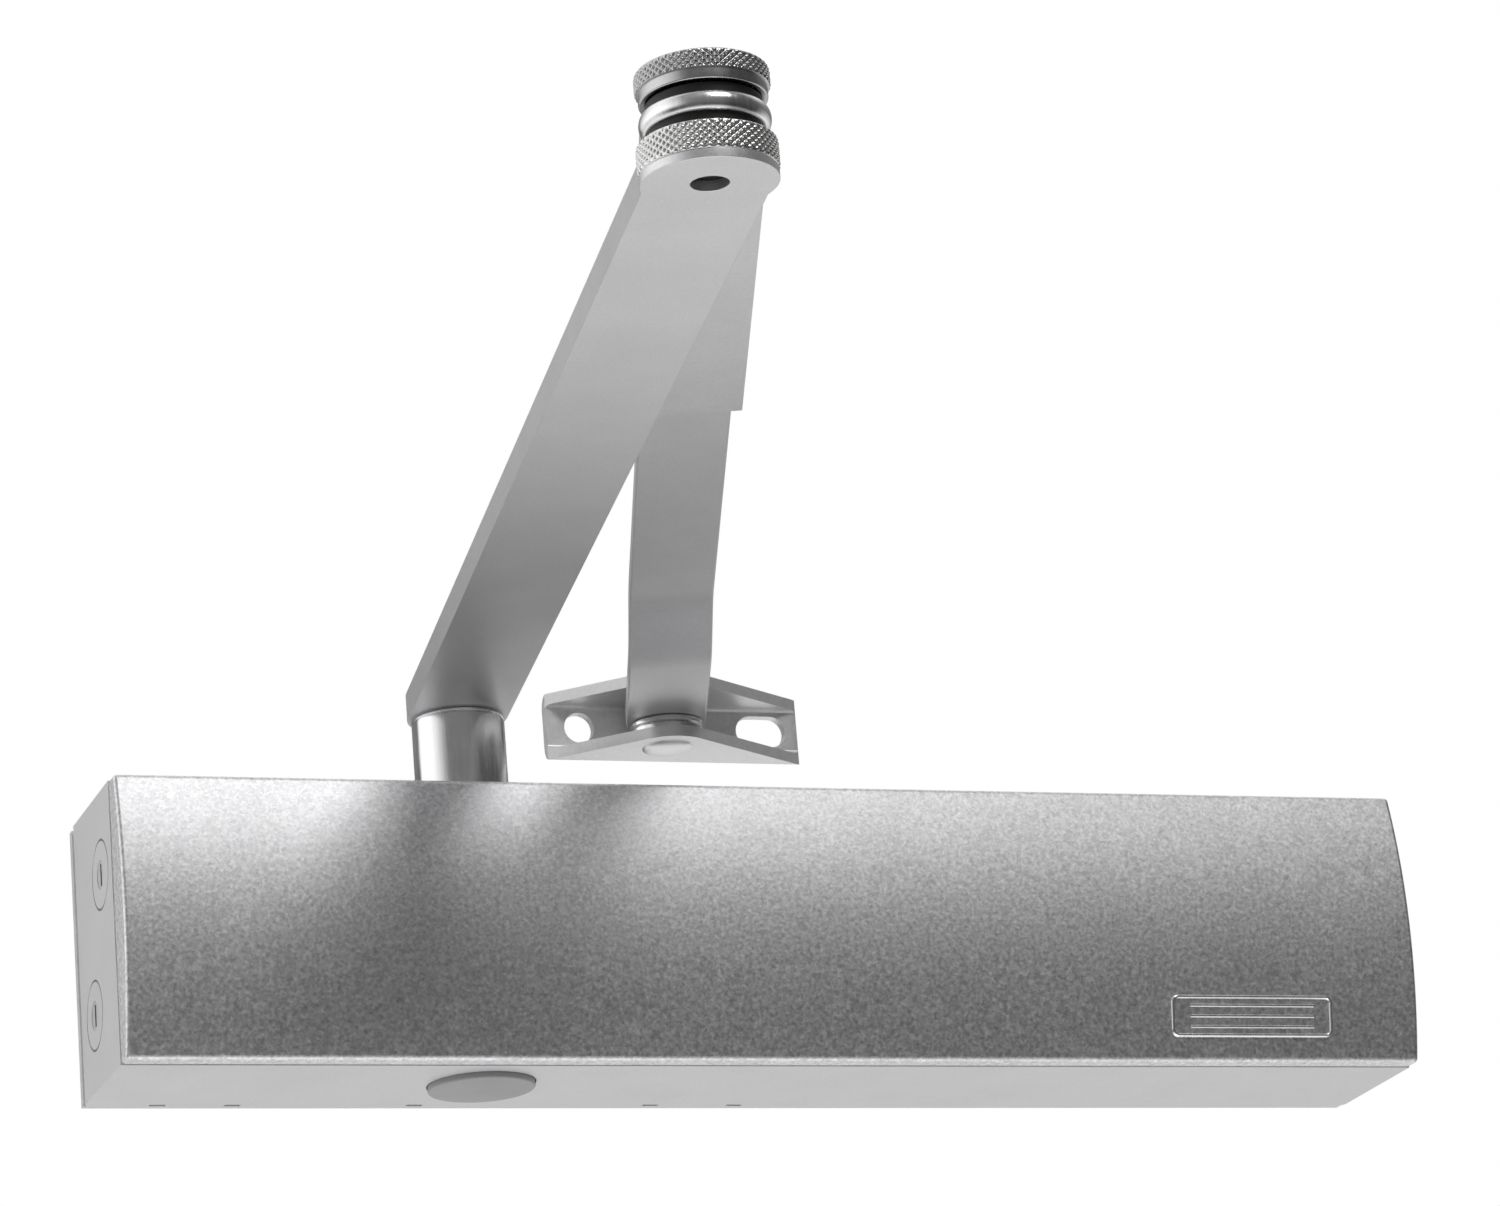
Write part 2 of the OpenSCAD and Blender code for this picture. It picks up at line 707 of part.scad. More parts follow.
module pinion_outline() {
    polygon([for (tooth = [0 : pinion_teeth - 1])
        let (mid = -90 + tooth * 360 / pinion_teeth, foot = half_tooth(base_r))
        each concat(
            [pinion_root_r * [cos(mid - foot), sin(mid - foot)]],
            [for (r = flank_rs) r * [cos(mid - half_tooth(r)), sin(mid - half_tooth(r))]],
            [for (i = [flank_steps : -1 : 0])
                let (r = flank_rs[i]) r * [cos(mid + half_tooth(r)), sin(mid + half_tooth(r))]],
            [pinion_root_r * [cos(mid + foot), sin(mid + foot)]])]);
}

module pinion_spindle() color("lightgray") at_spindle() difference() {
    union() {
        translate([0, 0, -pinion_half_h]) linear_extrude(2 * pinion_half_h) pinion_outline();
        for (side = [0, 1]) mirror([0, 0, side]) {
            translate([0, 0, pinion_half_h]) cylinder(h = square_low - pinion_half_h, r = journal_r);
            square_prism(square_low - cut, square_top, square_w);
        }
    }
    for (side = [0, 1]) mirror([0, 0, side])
        translate([0, 0, square_top - arm_screw_depth])
            cylinder(h = arm_screw_depth + cut, r = arm_screw_r + thread_gap);
}

module hub_collar() color("silver") at_spindle() difference() {
    union() {
        translate([0, 0, square_low + 0.2])
            cylinder(h = half_h + free_gap + cut - square_low, r = neck_r);
        translate([0, 0, half_h + free_gap]) cylinder(h = collar_h - free_gap, r = collar_r);
        square_prism(arm_z - cut, arm_top - 0.5, arm_square_w);
    }
    square_prism(square_low - cut, square_top + 0.2, square_w + 2 * thread_gap);
    translate([0, 0, half_h - cut]) cylinder(h = arm_top, r = arm_screw_r + 0.2);
}

module main_arm() color("silver") difference() {
    at_spindle() rotate(main_arm_turn) {
        translate([0, 0, arm_z]) cylinder(h = arm_t, r = arm_w / 2);
        translate([0, -arm_w / 2, arm_z]) cube([main_arm_l, arm_w, arm_t]);
        translate([main_arm_l, 0, arm_z]) cylinder(h = arm_lip, r = arm_eye_r);
    }
    at_spindle() square_prism(arm_z - cut, arm_top + cut, arm_square_w + 2 * thread_gap);
    at_elbow() {
        translate([0, 0, disc_z]) cylinder(h = arm_t, r = disc_r + 0.2);
        translate([0, 0, arm_z - cut]) cylinder(h = arm_t, r = elbow_hole_r);
    }
    at_spindle() rotate(main_arm_turn) translate([main_arm_l, -arm_w, disc_z])
        cube([arm_w, 2 * arm_w, arm_t]);
}

module arm_washer() color("darkgray") at_spindle()
    ring(arm_top + 0.02, arm_top + washer_t, arm_screw_r + 0.2, 8.5);

module arm_screw() color("dimgray") at_spindle() difference() {
    seat = arm_top + washer_t + 0.02;
    head_h = 4;
    union() {
        translate([0, 0, square_top - arm_screw_depth + 2])
            cylinder(h = seat - square_top + arm_screw_depth - 2, r = arm_screw_r);
        translate([0, 0, seat]) cylinder(h = head_h, r = 5);
    }
    translate([0, 0, seat + 1]) cylinder(h = head_h, r = 2.9, $fn = 6);
}

// ---- elbow ----

module elbow_disc() color("gray") at_elbow()
    knurled_ring(disc_z, disc_top, elbow_pin_r + thread_gap, disc_r);

module elbow_pin() color("lightgray") at_elbow() difference() {
    union() {
        translate([0, 0, disc_z]) cylinder(h = knob_top - disc_z - 1.2, r = elbow_pin_r);
        translate([0, 0, knob_top - 1.2]) cylinder(h = 1.2, r = elbow_pin_r - 0.6);
    }
    translate([0, 0, disc_z - cut]) cylinder(h = 8 + cut, r = elbow_hole_r);
}

module hold_open_knob() color("gray") at_elbow() {
    top = knob_top - 0.6;
    bore = elbow_pin_r + fit_gap;
    knurled_ring(knob_z + knob_band_h, top, bore, knob_r);
    ring(knob_z, knob_z + knob_band_h, bore, knob_r - 0.6);
}

// ---- forearm ----

module at_forearm() {
    at_elbow() rotate(forearm_turn) children();
}

module forearm_sleeve() color("silver") at_forearm() difference() {
    union() {
        translate([0, 0, sleeve_z]) cylinder(h = sleeve_t, r = waist_r);
        translate([0, -sleeve_w / 2, sleeve_z]) cube([sleeve_l, sleeve_w, sleeve_t]);
    }
    translate([sleeve_cavity_start, -bar_w / 2 - 0.1, sleeve_z + (sleeve_t - sleeve_cavity_t) / 2])
        cube([sleeve_l, bar_w + 0.2, sleeve_cavity_t]);
    translate([0, 0, sleeve_z - cut]) cylinder(h = sleeve_t + 2 * cut, r = elbow_bush_r + thread_gap);
    translate([clamp_at, 0, sleeve_z + sleeve_t / 2]) cylinder(h = sleeve_t, r = clamp_r + thread_gap);
    ring(sleeve_z - cut, sleeve_z + waist_groove_h, waist_neck_r, waist_groove_r);
    ring(sleeve_top - waist_groove_h, sleeve_top + cut, waist_neck_r, waist_groove_r);
}

module elbow_bush() color("goldenrod") at_elbow()
    ring(sleeve_z, sleeve_top, elbow_pin_r + fit_gap, elbow_bush_r);

module clamp_screw() color("dimgray") at_forearm() translate([clamp_at, 0, 0]) {
    tip = bar_z + bar_t + 0.05;
    translate([0, 0, tip]) cylinder(h = sleeve_top - tip + 0.1, r = clamp_r);
    translate([0, 0, sleeve_top + 0.02]) cylinder(h = 3.5, r = 4.6, $fn = 6);
}

// the bar seen from the side: straight, then one step down to the bracket
module bar_side() {
    near = forearm_l - step_near;
    far = near - step_l;
    polygon([[bar_start, bar_z], [far, bar_z], [near, bar_end_z],
             [forearm_l + bar_w, bar_end_z], [forearm_l + bar_w, bar_end_z + bar_t],
             [near, bar_end_z + bar_t], [far, bar_z + bar_t], [bar_start, bar_z + bar_t]]);
}

module forearm_bar() color("silver") at_forearm() difference() {
    intersection() {
        translate([0, bar_w / 2, 0]) rotate([90, 0, 0]) linear_extrude(bar_w) bar_side();
        translate([0, 0, bar_end_z - cut]) linear_extrude(bar_drop + bar_t + 2 * cut) {
            translate([0, -bar_w / 2]) square([forearm_l, bar_w]);
            translate([forearm_l, 0]) circle(r = bar_w / 2);
        }
    }
    translate([forearm_l, 0, bar_end_z - cut]) cylinder(h = bar_t + 2 * cut, r = rivet_r + fit_gap);
}

// ---- bracket ----

// where a line from point p touches the circle at the origin, on the given side
function touch_point(p, r, side) =
    let (d = norm(p), turn = atan2(p.y, p.x) + side * acos(r / d))
    r * [cos(turn), sin(turn)];

module flange_outline() {
    front = pivot_depth - bracket_t;
    left = [-bracket_short, front];
    right = [bracket_long, front];
    // the straight edges run just inside the tip's circle, so that they cross it cleanly
    inner_r = 0.98 * flange_tip_r;
    polygon([left, touch_point(left, inner_r, 1), touch_point(right, inner_r, -1),
             right, [bracket_long, pivot_depth], [-bracket_short, pivot_depth]]);
    circle(r = flange_tip_r);
}

module bracket() color("gainsboro") at_pivot() difference() {
    slot_r = slot_w / 2;
    union() {
        for (z = [bracket_z, flange_high_low])
            translate([0, 0, z]) linear_extrude(bracket_t) flange_outline();
        translate([-bracket_short, pivot_depth - bracket_t, bracket_z])
            cube([bracket_short + bracket_long, bracket_t, bracket_h]);
    }
    translate([0, 0, bracket_z - cut]) cylinder(h = bracket_h + 2 * cut, r = rivet_r + thread_gap);
    rod_y(pivot_depth - bracket_t - cut, pivot_depth + cut, round_hole_r,
        -round_hole_from_pivot, bracket_mid_z);
    for (side = [-1, 1])
        rod_y(pivot_depth - bracket_t - cut, pivot_depth + cut, slot_r,
            slot_from_pivot + side * (slot_l / 2 - slot_r), bracket_mid_z);
    translate([slot_from_pivot - slot_l / 2 + slot_r, pivot_depth - bracket_t - cut,
               bracket_mid_z - slot_r])
        cube([slot_l - slot_w, bracket_t + 2 * cut, slot_w]);
}

module bracket_rivet() color("lightgray") at_pivot() {
    translate([0, 0, bracket_z - 0.02]) cylinder(h = bracket_h + 0.04, r = rivet_r);
    translate([0, 0, bracket_z - rivet_head_h]) cylinder(h = rivet_head_h, r = rivet_head_r);
    translate([0, 0, bracket_top]) cylinder(h = rivet_head_h, r = rivet_head_r);
}

module lower_bush() color("silver") at_pivot()
    ring(flange_low_top, bar_end_z - 0.1, rivet_r + thread_gap, bush_r);

module upper_bush() color("silver") at_pivot()
    ring(bar_end_z + bar_t + 0.1, flange_high_low, rivet_r + thread_gap, bush_r);

mounting_plate();
housing();
front_cover();
name_plate();
cover_clips();
housing_screws();
bearing_top();
bearing_bottom();
seal_top();
seal_bottom();
bearing_cover_top();
bearing_cover_bottom();
bottom_cap();
end_plug();
end_plug_seal();
main_spring();
inner_spring();
spring_plate();
tension_screw();
piston();
check_valve();
check_ball();
closing_valve();
closing_valve_seal();
latching_valve();
latching_valve_seal();
pinion_spindle();
hub_collar();
main_arm();
arm_screw();
arm_washer();
elbow_disc();
elbow_pin();
hold_open_knob();
forearm_sleeve();
elbow_bush();
clamp_screw();
forearm_bar();
bracket();
bracket_rivet();
lower_bush();
upper_bush();
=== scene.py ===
"""Looks for the door closer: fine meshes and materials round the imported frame.

Lengths are in metres, and MM turns millimetres into them.
"""

import json
import math

import bmesh
import bpy
from mathutils import Matrix, Vector


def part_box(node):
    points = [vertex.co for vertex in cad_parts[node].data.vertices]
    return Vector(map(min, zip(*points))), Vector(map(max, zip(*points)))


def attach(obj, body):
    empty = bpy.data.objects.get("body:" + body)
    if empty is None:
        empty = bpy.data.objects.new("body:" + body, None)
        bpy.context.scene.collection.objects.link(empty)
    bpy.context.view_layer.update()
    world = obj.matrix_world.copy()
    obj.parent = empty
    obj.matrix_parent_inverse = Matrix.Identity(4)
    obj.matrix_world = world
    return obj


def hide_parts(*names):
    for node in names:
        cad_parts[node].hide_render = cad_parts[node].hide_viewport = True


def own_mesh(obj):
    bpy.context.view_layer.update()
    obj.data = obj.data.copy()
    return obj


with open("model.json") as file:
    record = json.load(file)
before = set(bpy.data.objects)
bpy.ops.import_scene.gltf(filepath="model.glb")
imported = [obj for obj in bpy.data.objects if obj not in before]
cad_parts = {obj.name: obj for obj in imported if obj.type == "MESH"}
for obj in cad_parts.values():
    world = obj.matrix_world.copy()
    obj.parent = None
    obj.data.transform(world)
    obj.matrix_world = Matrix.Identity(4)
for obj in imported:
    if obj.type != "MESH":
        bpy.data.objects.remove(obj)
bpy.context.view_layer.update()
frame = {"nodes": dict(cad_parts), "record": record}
MM = 0.001
JOINTS = {j["name"]: j for j in frame["record"]["behaviour"]["joints"]}
BODY_OF = {n: b for b, nodes in frame["record"]["behaviour"]["bodies"].items() for n in nodes}
SLOT_OF = {s["node"]: s["material_slot"] for s in frame["record"]["subparts"]}


# ---------------------------------------------------------------- materials


class Nodes:
    """A short way to build a node tree."""

    def __init__(self, tree):
        self.tree = tree
        tree.nodes.clear()

    def add(self, kind, inputs=None, **props):
        node = self.tree.nodes.new(kind)
        for key, value in props.items():
            setattr(node, key, value)
        for key, value in (inputs or {}).items():
            self.put(node.inputs[key], value)
        return node

    def put(self, socket, value):
        if isinstance(value, bpy.types.NodeSocket):
            self.tree.links.new(value, socket)
        else:
            socket.default_value = value

    def math(self, operation, a, b, c=0.0):
        return self.add("ShaderNodeMath", {0: a, 1: b, 2: c}, operation=operation).outputs[0]

    def noise(self, where, scale, detail=2.0, roughness=0.5):
        return self.add(
            "ShaderNodeTexNoise",
            {"Vector": where, "Scale": scale, "Detail": detail, "Roughness": roughness},
        ).outputs["Fac"]

    def remap(self, value, low, high, to_low, to_high):
        inputs = {
            "Value": value, "From Min": low, "From Max": high, "To Min": to_low, "To Max": to_high,
        }
        return self.add("ShaderNodeMapRange", inputs).outputs["Result"]

    def vary(self, noise, low, high):
        """The noise's usual span, 0.3 to 0.7, spread over low to high."""
        return self.remap(noise, 0.3, 0.7, low, high)

    def stretch(self, where, scale):
        return self.add("ShaderNodeMapping", {"Vector": where, "Scale": scale}).outputs["Vector"]

    def shade(self, colour, factor):
        """The colour made lighter or darker by a factor."""
        node = self.add("ShaderNodeVectorMath", {0: colour, "Scale": factor}, operation="SCALE")
        return node.outputs[0]

    def mix_colour(self, factor, a, b):
        node = self.add("ShaderNodeMix", data_type="RGBA")
        self.put(node.inputs["Factor"], factor)
        self.put(node.inputs["A"], a)
        self.put(node.inputs["B"], b)
        return node.outputs["Result"]

    def bump(self, height, distance, strength=1.0, normal=None):
        inputs = {"Height": height, "Distance": distance, "Strength": strength}
        if normal is not None:
            inputs["Normal"] = normal
        return self.add("ShaderNodeBump", inputs).outputs["Normal"]


def new_material(name):
    material = bpy.data.materials.new(name)
    material.use_nodes = True
    nodes = Nodes(material.node_tree)
    output = nodes.add("ShaderNodeOutputMaterial")
    shader = nodes.add("ShaderNodeBsdfPrincipled")
    nodes.put(output.inputs["Surface"], shader.outputs[0])
    where = nodes.add("ShaderNodeTexCoord").outputs["Object"]
    return material, nodes, shader, where


def metallic_paint(name, colour, metallic, roughness, flake, speckle, coat, peel=0.02):
    """Silver paint: fine flakes that vary in tone and tilt, slight orange peel, a thin clear coat.

    Flake is their number per metre, speckle their spread in tone and peel the peel's depth in mm.
    """
    grain_share, cloud_scale, cloud_spread, rough_spread = 0.55, 60.0, 0.025, 0.05
    tilt_depth, tilt_strength, peel_scale, coat_roughness = 0.00003, 0.3, 420.0, 0.28
    material, nodes, shader, where = new_material(name)
    flakes = nodes.add("ShaderNodeTexVoronoi", {"Vector": where, "Scale": flake})
    tone = nodes.add("ShaderNodeSeparateColor", {"Color": flakes.outputs["Color"]})
    grain = nodes.noise(where, flake * grain_share, 3.0, 0.6)
    cloud = nodes.noise(where, cloud_scale)
    flake_tone = nodes.math("MULTIPLY_ADD", tone.outputs["Red"], speckle, 1.0 - speckle / 2)
    grain_tone = nodes.vary(grain, 1.0 - speckle, 1.0 + speckle)
    cloud_tone = nodes.vary(cloud, 1.0 - cloud_spread, 1.0 + cloud_spread)
    factor = nodes.math("MULTIPLY", nodes.math("MULTIPLY", flake_tone, grain_tone), cloud_tone)
    shader.inputs["Metallic"].default_value = metallic
    nodes.put(shader.inputs["Base Color"], nodes.shade(colour, factor))
    rough = nodes.vary(grain, roughness - rough_spread, roughness + rough_spread)
    nodes.put(shader.inputs["Roughness"], rough)
    shader.inputs["Coat Weight"].default_value = coat
    shader.inputs["Coat Roughness"].default_value = coat_roughness
    tilt = nodes.bump(tone.outputs["Green"], tilt_depth, tilt_strength)
    skin = nodes.bump(nodes.noise(where, peel_scale), peel * MM, 1.0, tilt)
    nodes.put(shader.inputs["Normal"], skin)
    return material


def plated_steel(name, colour, roughness, brush=(1, 1, 1), grain=900.0, stain=0.06, metallic=1.0):
    """Plated or bare steel: fine brushing, stretched by brush, and faint stains."""
    line_spread, rough_spread, rough_cloud = 0.06, 0.06, 0.04
    cloud_scale, line_depth, line_strength = 90.0, 0.00002, 0.6
    material, nodes, shader, where = new_material(name)
    lines = nodes.noise(nodes.stretch(where, brush), grain, 4.0, 0.7)
    cloud = nodes.noise(where, cloud_scale, 3.0, 0.6)
    tone = nodes.math(
        "MULTIPLY",
        nodes.vary(lines, 1.0 - line_spread, 1.0 + line_spread),
        nodes.vary(cloud, 1.0 - stain, 1.0 + stain),
    )
    nodes.put(shader.inputs["Base Color"], nodes.shade(colour, tone))
    shader.inputs["Metallic"].default_value = metallic
    rough = nodes.math(
        "ADD",
        nodes.vary(lines, roughness - rough_spread, roughness + rough_spread),
        nodes.vary(cloud, -rough_cloud, rough_cloud),
    )
    nodes.put(shader.inputs["Roughness"], rough)
    nodes.put(shader.inputs["Normal"], nodes.bump(lines, line_depth, line_strength))
    return material


def moulded(name, colour, roughness):
    """Moulded plastic or rubber: fine grain, slight cloudiness."""
    grain_scale, cloud_scale, tone_spread, rough_spread = 1400.0, 120.0, 0.05, 0.06
    grain_depth, grain_strength = 0.00003, 0.8
    material, nodes, shader, where = new_material(name)
    fine = nodes.noise(where, grain_scale, 3.0, 0.6)
    cloud = nodes.noise(where, cloud_scale)
    tone = nodes.math(
        "MULTIPLY",
        nodes.vary(fine, 1.0 - tone_spread, 1.0 + tone_spread),
        nodes.vary(cloud, 1.0 - tone_spread, 1.0 + tone_spread),
    )
    nodes.put(shader.inputs["Base Color"], nodes.shade(colour, tone))
    rough = nodes.vary(fine, roughness - rough_spread, roughness + rough_spread)
    nodes.put(shader.inputs["Roughness"], rough)
    nodes.put(shader.inputs["Normal"], nodes.bump(fine, grain_depth, grain_strength))
    return material


def grey(level, blue=0.0):
    return level, level, level + blue


ARM_GRAIN = {"flake": 3600.0, "speckle": 0.05, "coat": 0.05, "peel": 0.012}
HOUSING_GRAIN = {"flake": 3600.0, "speckle": 0.04, "coat": 0.05, "peel": 0.012}
COVER_GRAIN = {"flake": 1900.0, "speckle": 0.22, "coat": 0.0}
MATERIALS = {
    "silver_paint": metallic_paint("silver_paint", grey(0.74, 0.01), 1.0, 0.5, **COVER_GRAIN),
    "housing_paint": metallic_paint("housing_paint", grey(0.77, 0.01), 0.22, 0.5, **HOUSING_GRAIN),
    "arm_paint": metallic_paint("arm_paint", grey(0.76, 0.01), 0.75, 0.38, **ARM_GRAIN),
    "bar_paint": metallic_paint("bar_paint", grey(0.72, 0.01), 0.75, 0.42, **ARM_GRAIN),
    "badge_metal": plated_steel("badge_metal", grey(0.93), 0.22, stain=0.02),
    "bright_steel": plated_steel("bright_steel", grey(0.80), 0.22, (1, 1, 0.06), 1500.0, 0.04),
    "zinc_steel": plated_steel("zinc_steel", grey(0.72), 0.34),
    "bracket_plate": plated_steel("bracket_plate", grey(0.82), 0.4, stain=0.03, metallic=0.6),
    "valve_face": plated_steel("valve_face", grey(0.72), 0.45, stain=0.03, metallic=0.3),
    "plate_zinc": plated_steel("plate_zinc", grey(0.76), 0.5, stain=0.04, metallic=0.3),
    "bare_steel": plated_steel("bare_steel", grey(0.52, 0.01), 0.32, (1, 1, 8)),
    # black_steel paints shade: the disc in the elbow pin's hole, the neck in the elbow's grooves
    # and the boxes in the valve slots use it
    "black_steel": plated_steel("black_steel", grey(0.025), 0.5, metallic=0.4),
    "knurled_steel": plated_steel("knurled_steel", grey(0.72, -0.01), 0.25),
    "knob_steel": plated_steel("knob_steel", grey(0.5), 0.25),
    "mark_grey": moulded("mark_grey", grey(0.2), 0.6),
    "cast_iron": plated_steel("cast_iron", grey(0.30, 0.01), 0.5, stain=0.2),
    "bronze": plated_steel("bronze", (0.60, 0.44, 0.22), 0.4, stain=0.15),
    "grey_plastic": moulded("grey_plastic", grey(0.42, 0.01), 0.5),
    "black_rubber": moulded("black_rubber", grey(0.03), 0.6),
}
# finishes that only the looks tell apart, by node
FINISH_OF = {
    "closing_valve": "valve_face", "latching_valve": "valve_face", "mounting_plate": "plate_zinc",
}


# ---------------------------------------------------------------- mesh tools


def node_box(node):
    low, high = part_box(node)
    return Vector(low), Vector(high)


def axis_of(joint):
    """A point on a hinge's axis."""
    return Vector(JOINTS[joint]["pos_m"])


def soften(bm, width, segments=3, sharper_than=28.0):
    """Rounds every edge that is sharper than the angle."""
    limit = math.radians(sharper_than)
    edges = [e for e in bm.edges if e.is_manifold and e.calc_face_angle(0.0) > limit]
    bmesh.ops.bevel(
        bm, geom=edges, offset=width, segments=segments, profile=0.5,
        affect="EDGES", clamp_overlap=True, loop_slide=True,
    )


def make_object(name, bm, slot, body, replaces, smooth_under=40.0):
    """Turns a bmesh into a piece that rides on a body and stands for its CAD nodes."""
    bmesh.ops.recalc_face_normals(bm, faces=bm.faces)
    mesh = bpy.data.meshes.new(name)
    limit = math.radians(smooth_under)
    for face in bm.faces:
        face.smooth = True
    for edge in bm.edges:
        edge.smooth = not edge.is_manifold or edge.calc_face_angle(0.0) < limit
    bm.to_mesh(mesh)
    bm.free()
    obj = bpy.data.objects.new(name, mesh)
    bpy.context.collection.objects.link(obj)
    mesh.materials.append(MATERIALS[slot])
    weighted = obj.modifiers.new("weighted normals", "WEIGHTED_NORMAL")
    weighted.keep_sharp = True
    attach(obj, body)
    if replaces:
        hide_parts(*replaces)
    return obj


def refined(node, width):
    """A CAD node's own shape with its edges rounded, as a piece that stands for it."""
    bm = bmesh.new()
    bm.from_mesh(frame["nodes"][node].data)
    bmesh.ops.remove_doubles(bm, verts=bm.verts, dist=1e-6)
    bmesh.ops.dissolve_limit(
        bm, angle_limit=math.radians(0.5), verts=bm.verts, edges=bm.edges, delimit={"NORMAL"}
    )
    if width:
        soften(bm, width, 2)
    finish = FINISH_OF.get(node, SLOT_OF[node])
    return make_object(node + "_fine", bm, finish, BODY_OF[node], [node])


def extruded(outline, low, high, axis="Z"):
    """A solid from an outline of points: (x, y) for axis Z, (x, z) for Y and (y, z) for X."""
    place = {
        "Z": lambda p, t: (p[0], p[1], t),
        "Y": lambda p, t: (p[0], t, p[1]),
        "X": lambda p, t: (t, p[0], p[1]),
    }[axis]
    bm = bmesh.new()
    bottom = [bm.verts.new(place(p, low)) for p in outline]
    top = [bm.verts.new(place(p, high)) for p in outline]
    bm.faces.new(bottom[::-1])
    bm.faces.new(top)
    count = len(outline)
    for i in range(count):
        k = (i + 1) % count
        bm.faces.new([bottom[i], bottom[k], top[k], top[i]])
    bmesh.ops.recalc_face_normals(bm, faces=bm.faces)
    return bm


def arc(centre, radius, start, end, steps):
    """Points along an arc, angles in degrees."""
    points = []
    for i in range(steps + 1):
        a = math.radians(start + (end - start) * i / steps)
        points.append((centre[0] + radius * math.cos(a), centre[1] + radius * math.sin(a)))
    return points


def lathed(profile, centre, turns=96):
    """A solid of revolution about an upright axis, from a profile (radius, z) with closed ends."""
    bm = bmesh.new()
    rings = []
    for r, z in profile:
        if r == 0:
            rings.append([bm.verts.new((centre[0], centre[1], z))])
            continue
        ring = []
        for i in range(turns):
            a = 2 * math.pi * i / turns
            point = (centre[0] + r * math.cos(a), centre[1] + r * math.sin(a), z)
            ring.append(bm.verts.new(point))
        rings.append(ring)
    join_rings(bm, rings)
    return bm


def join_rings(bm, rings, closed=False):
    """Faces between each ring and the next; a ring of one point closes the solid."""
    pairs = list(zip(rings, rings[1:] + rings[:1] if closed else rings[1:]))
    for low, high in pairs:
        count = max(len(low), len(high))
        for i in range(count):
            k = (i + 1) % count
            if len(low) == 1:
                bm.faces.new([low[0], high[k], high[i]])
            elif len(high) == 1:
                bm.faces.new([low[i], low[k], high[0]])
            else:
                bm.faces.new([low[i], low[k], high[k], high[i]])


def combined(base, tool, operation="DIFFERENCE"):
    """The first solid cut by, joined to or crossed with the second."""
    objects = []
    for bm in (base, tool):
        mesh = bpy.data.meshes.new("scratch")
        bm.to_mesh(mesh)
        bm.free()
        obj = bpy.data.objects.new("scratch", mesh)
        bpy.context.collection.objects.link(obj)
        objects.append(obj)
    modifier = objects[0].modifiers.new("cut", "BOOLEAN")
    modifier.operation = operation
    modifier.object = objects[1]
    modifier.solver = "EXACT"
    result = bmesh.new()
    result.from_object(objects[0], bpy.context.evaluated_depsgraph_get())
    for obj in objects:
        mesh = obj.data
        bpy.data.objects.remove(obj)
        bpy.data.meshes.remove(mesh)
    bmesh.ops.remove_doubles(result, verts=result.verts, dist=1e-7)
    bmesh.ops.dissolve_limit(
        result, angle_limit=math.radians(0.3), verts=result.verts, edges=result.edges
    )
    return result


# ---------------------------------------------------------------- pieces


def cover_section(low, high, inset, flat_y, bulge):
    """The cover's cross-section (y, z): straight sides and a bulged front."""
    steps = 56
    half = (high.z - low.z) / 2 - inset
    mid = (high.z + low.z) / 2
    full = (high.z - low.z) / 2
    radius = (full * full + bulge * bulge) / (2 * bulge)
    centre_y = flat_y - bulge + radius
    radius -= inset
    spread = math.degrees(math.asin(half / radius))
    front = arc((centre_y, mid), radius, 180 + spread, 180 - spread, steps)
    return front + [(high.y, mid + half), (high.y, mid - half)]


def make_cover():
    low, high = node_box("front_cover")
    side, overlap, wall, edge, inner_edge = 5 * MM, 0.2 * MM, 1.6 * MM, 0.9 * MM, 0.6 * MM
    sharp = 50
    bulge = (high.y - low.y) - side + overlap
    flat_y = low.y + bulge
    outer = extruded(cover_section(low, high, 0, flat_y, bulge), low.x, high.x, "X")
    soften(outer, edge, 4, sharp)
    past_back = high.copy()
    past_back.y += MM
    inner = extruded(
        cover_section(low, past_back, wall, flat_y, bulge), low.x + wall, high.x - wall, "X"
    )
    soften(inner, inner_edge, 2, sharp)
    make_object("cover_shell", combined(outer, inner), "silver_paint", "housing", ["front_cover"])


# the arm's axes at rest, and the turns and lengths between them
SPINDLE = axis_of("spindle_turn")
ELBOW = axis_of("elbow_turn")
PIVOT = axis_of("bracket_turn")
ARM_TURN = math.atan2(ELBOW.y - SPINDLE.y, ELBOW.x - SPINDLE.x)
FOREARM_TURN = math.atan2(PIVOT.y - ELBOW.y, PIVOT.x - ELBOW.x)
ARM_LENGTH = (ELBOW - SPINDLE).to_2d().length
FOREARM_LENGTH = (PIVOT - ELBOW).to_2d().length


def put_at(bm, origin, turn):
    """Turns a shape made along +X about the vertical and moves it to a point."""
    bmesh.ops.transform(
        bm,
        matrix=Matrix.Translation((origin.x, origin.y, 0)) @ Matrix.Rotation(turn, 4, "Z"),
        verts=bm.verts,
    )


def disc(centre, radius, low, high, steps=72):
    """An upright cylinder."""
    return extruded(arc(centre, radius, 0, 360 - 360 / steps, steps - 1), low, high)


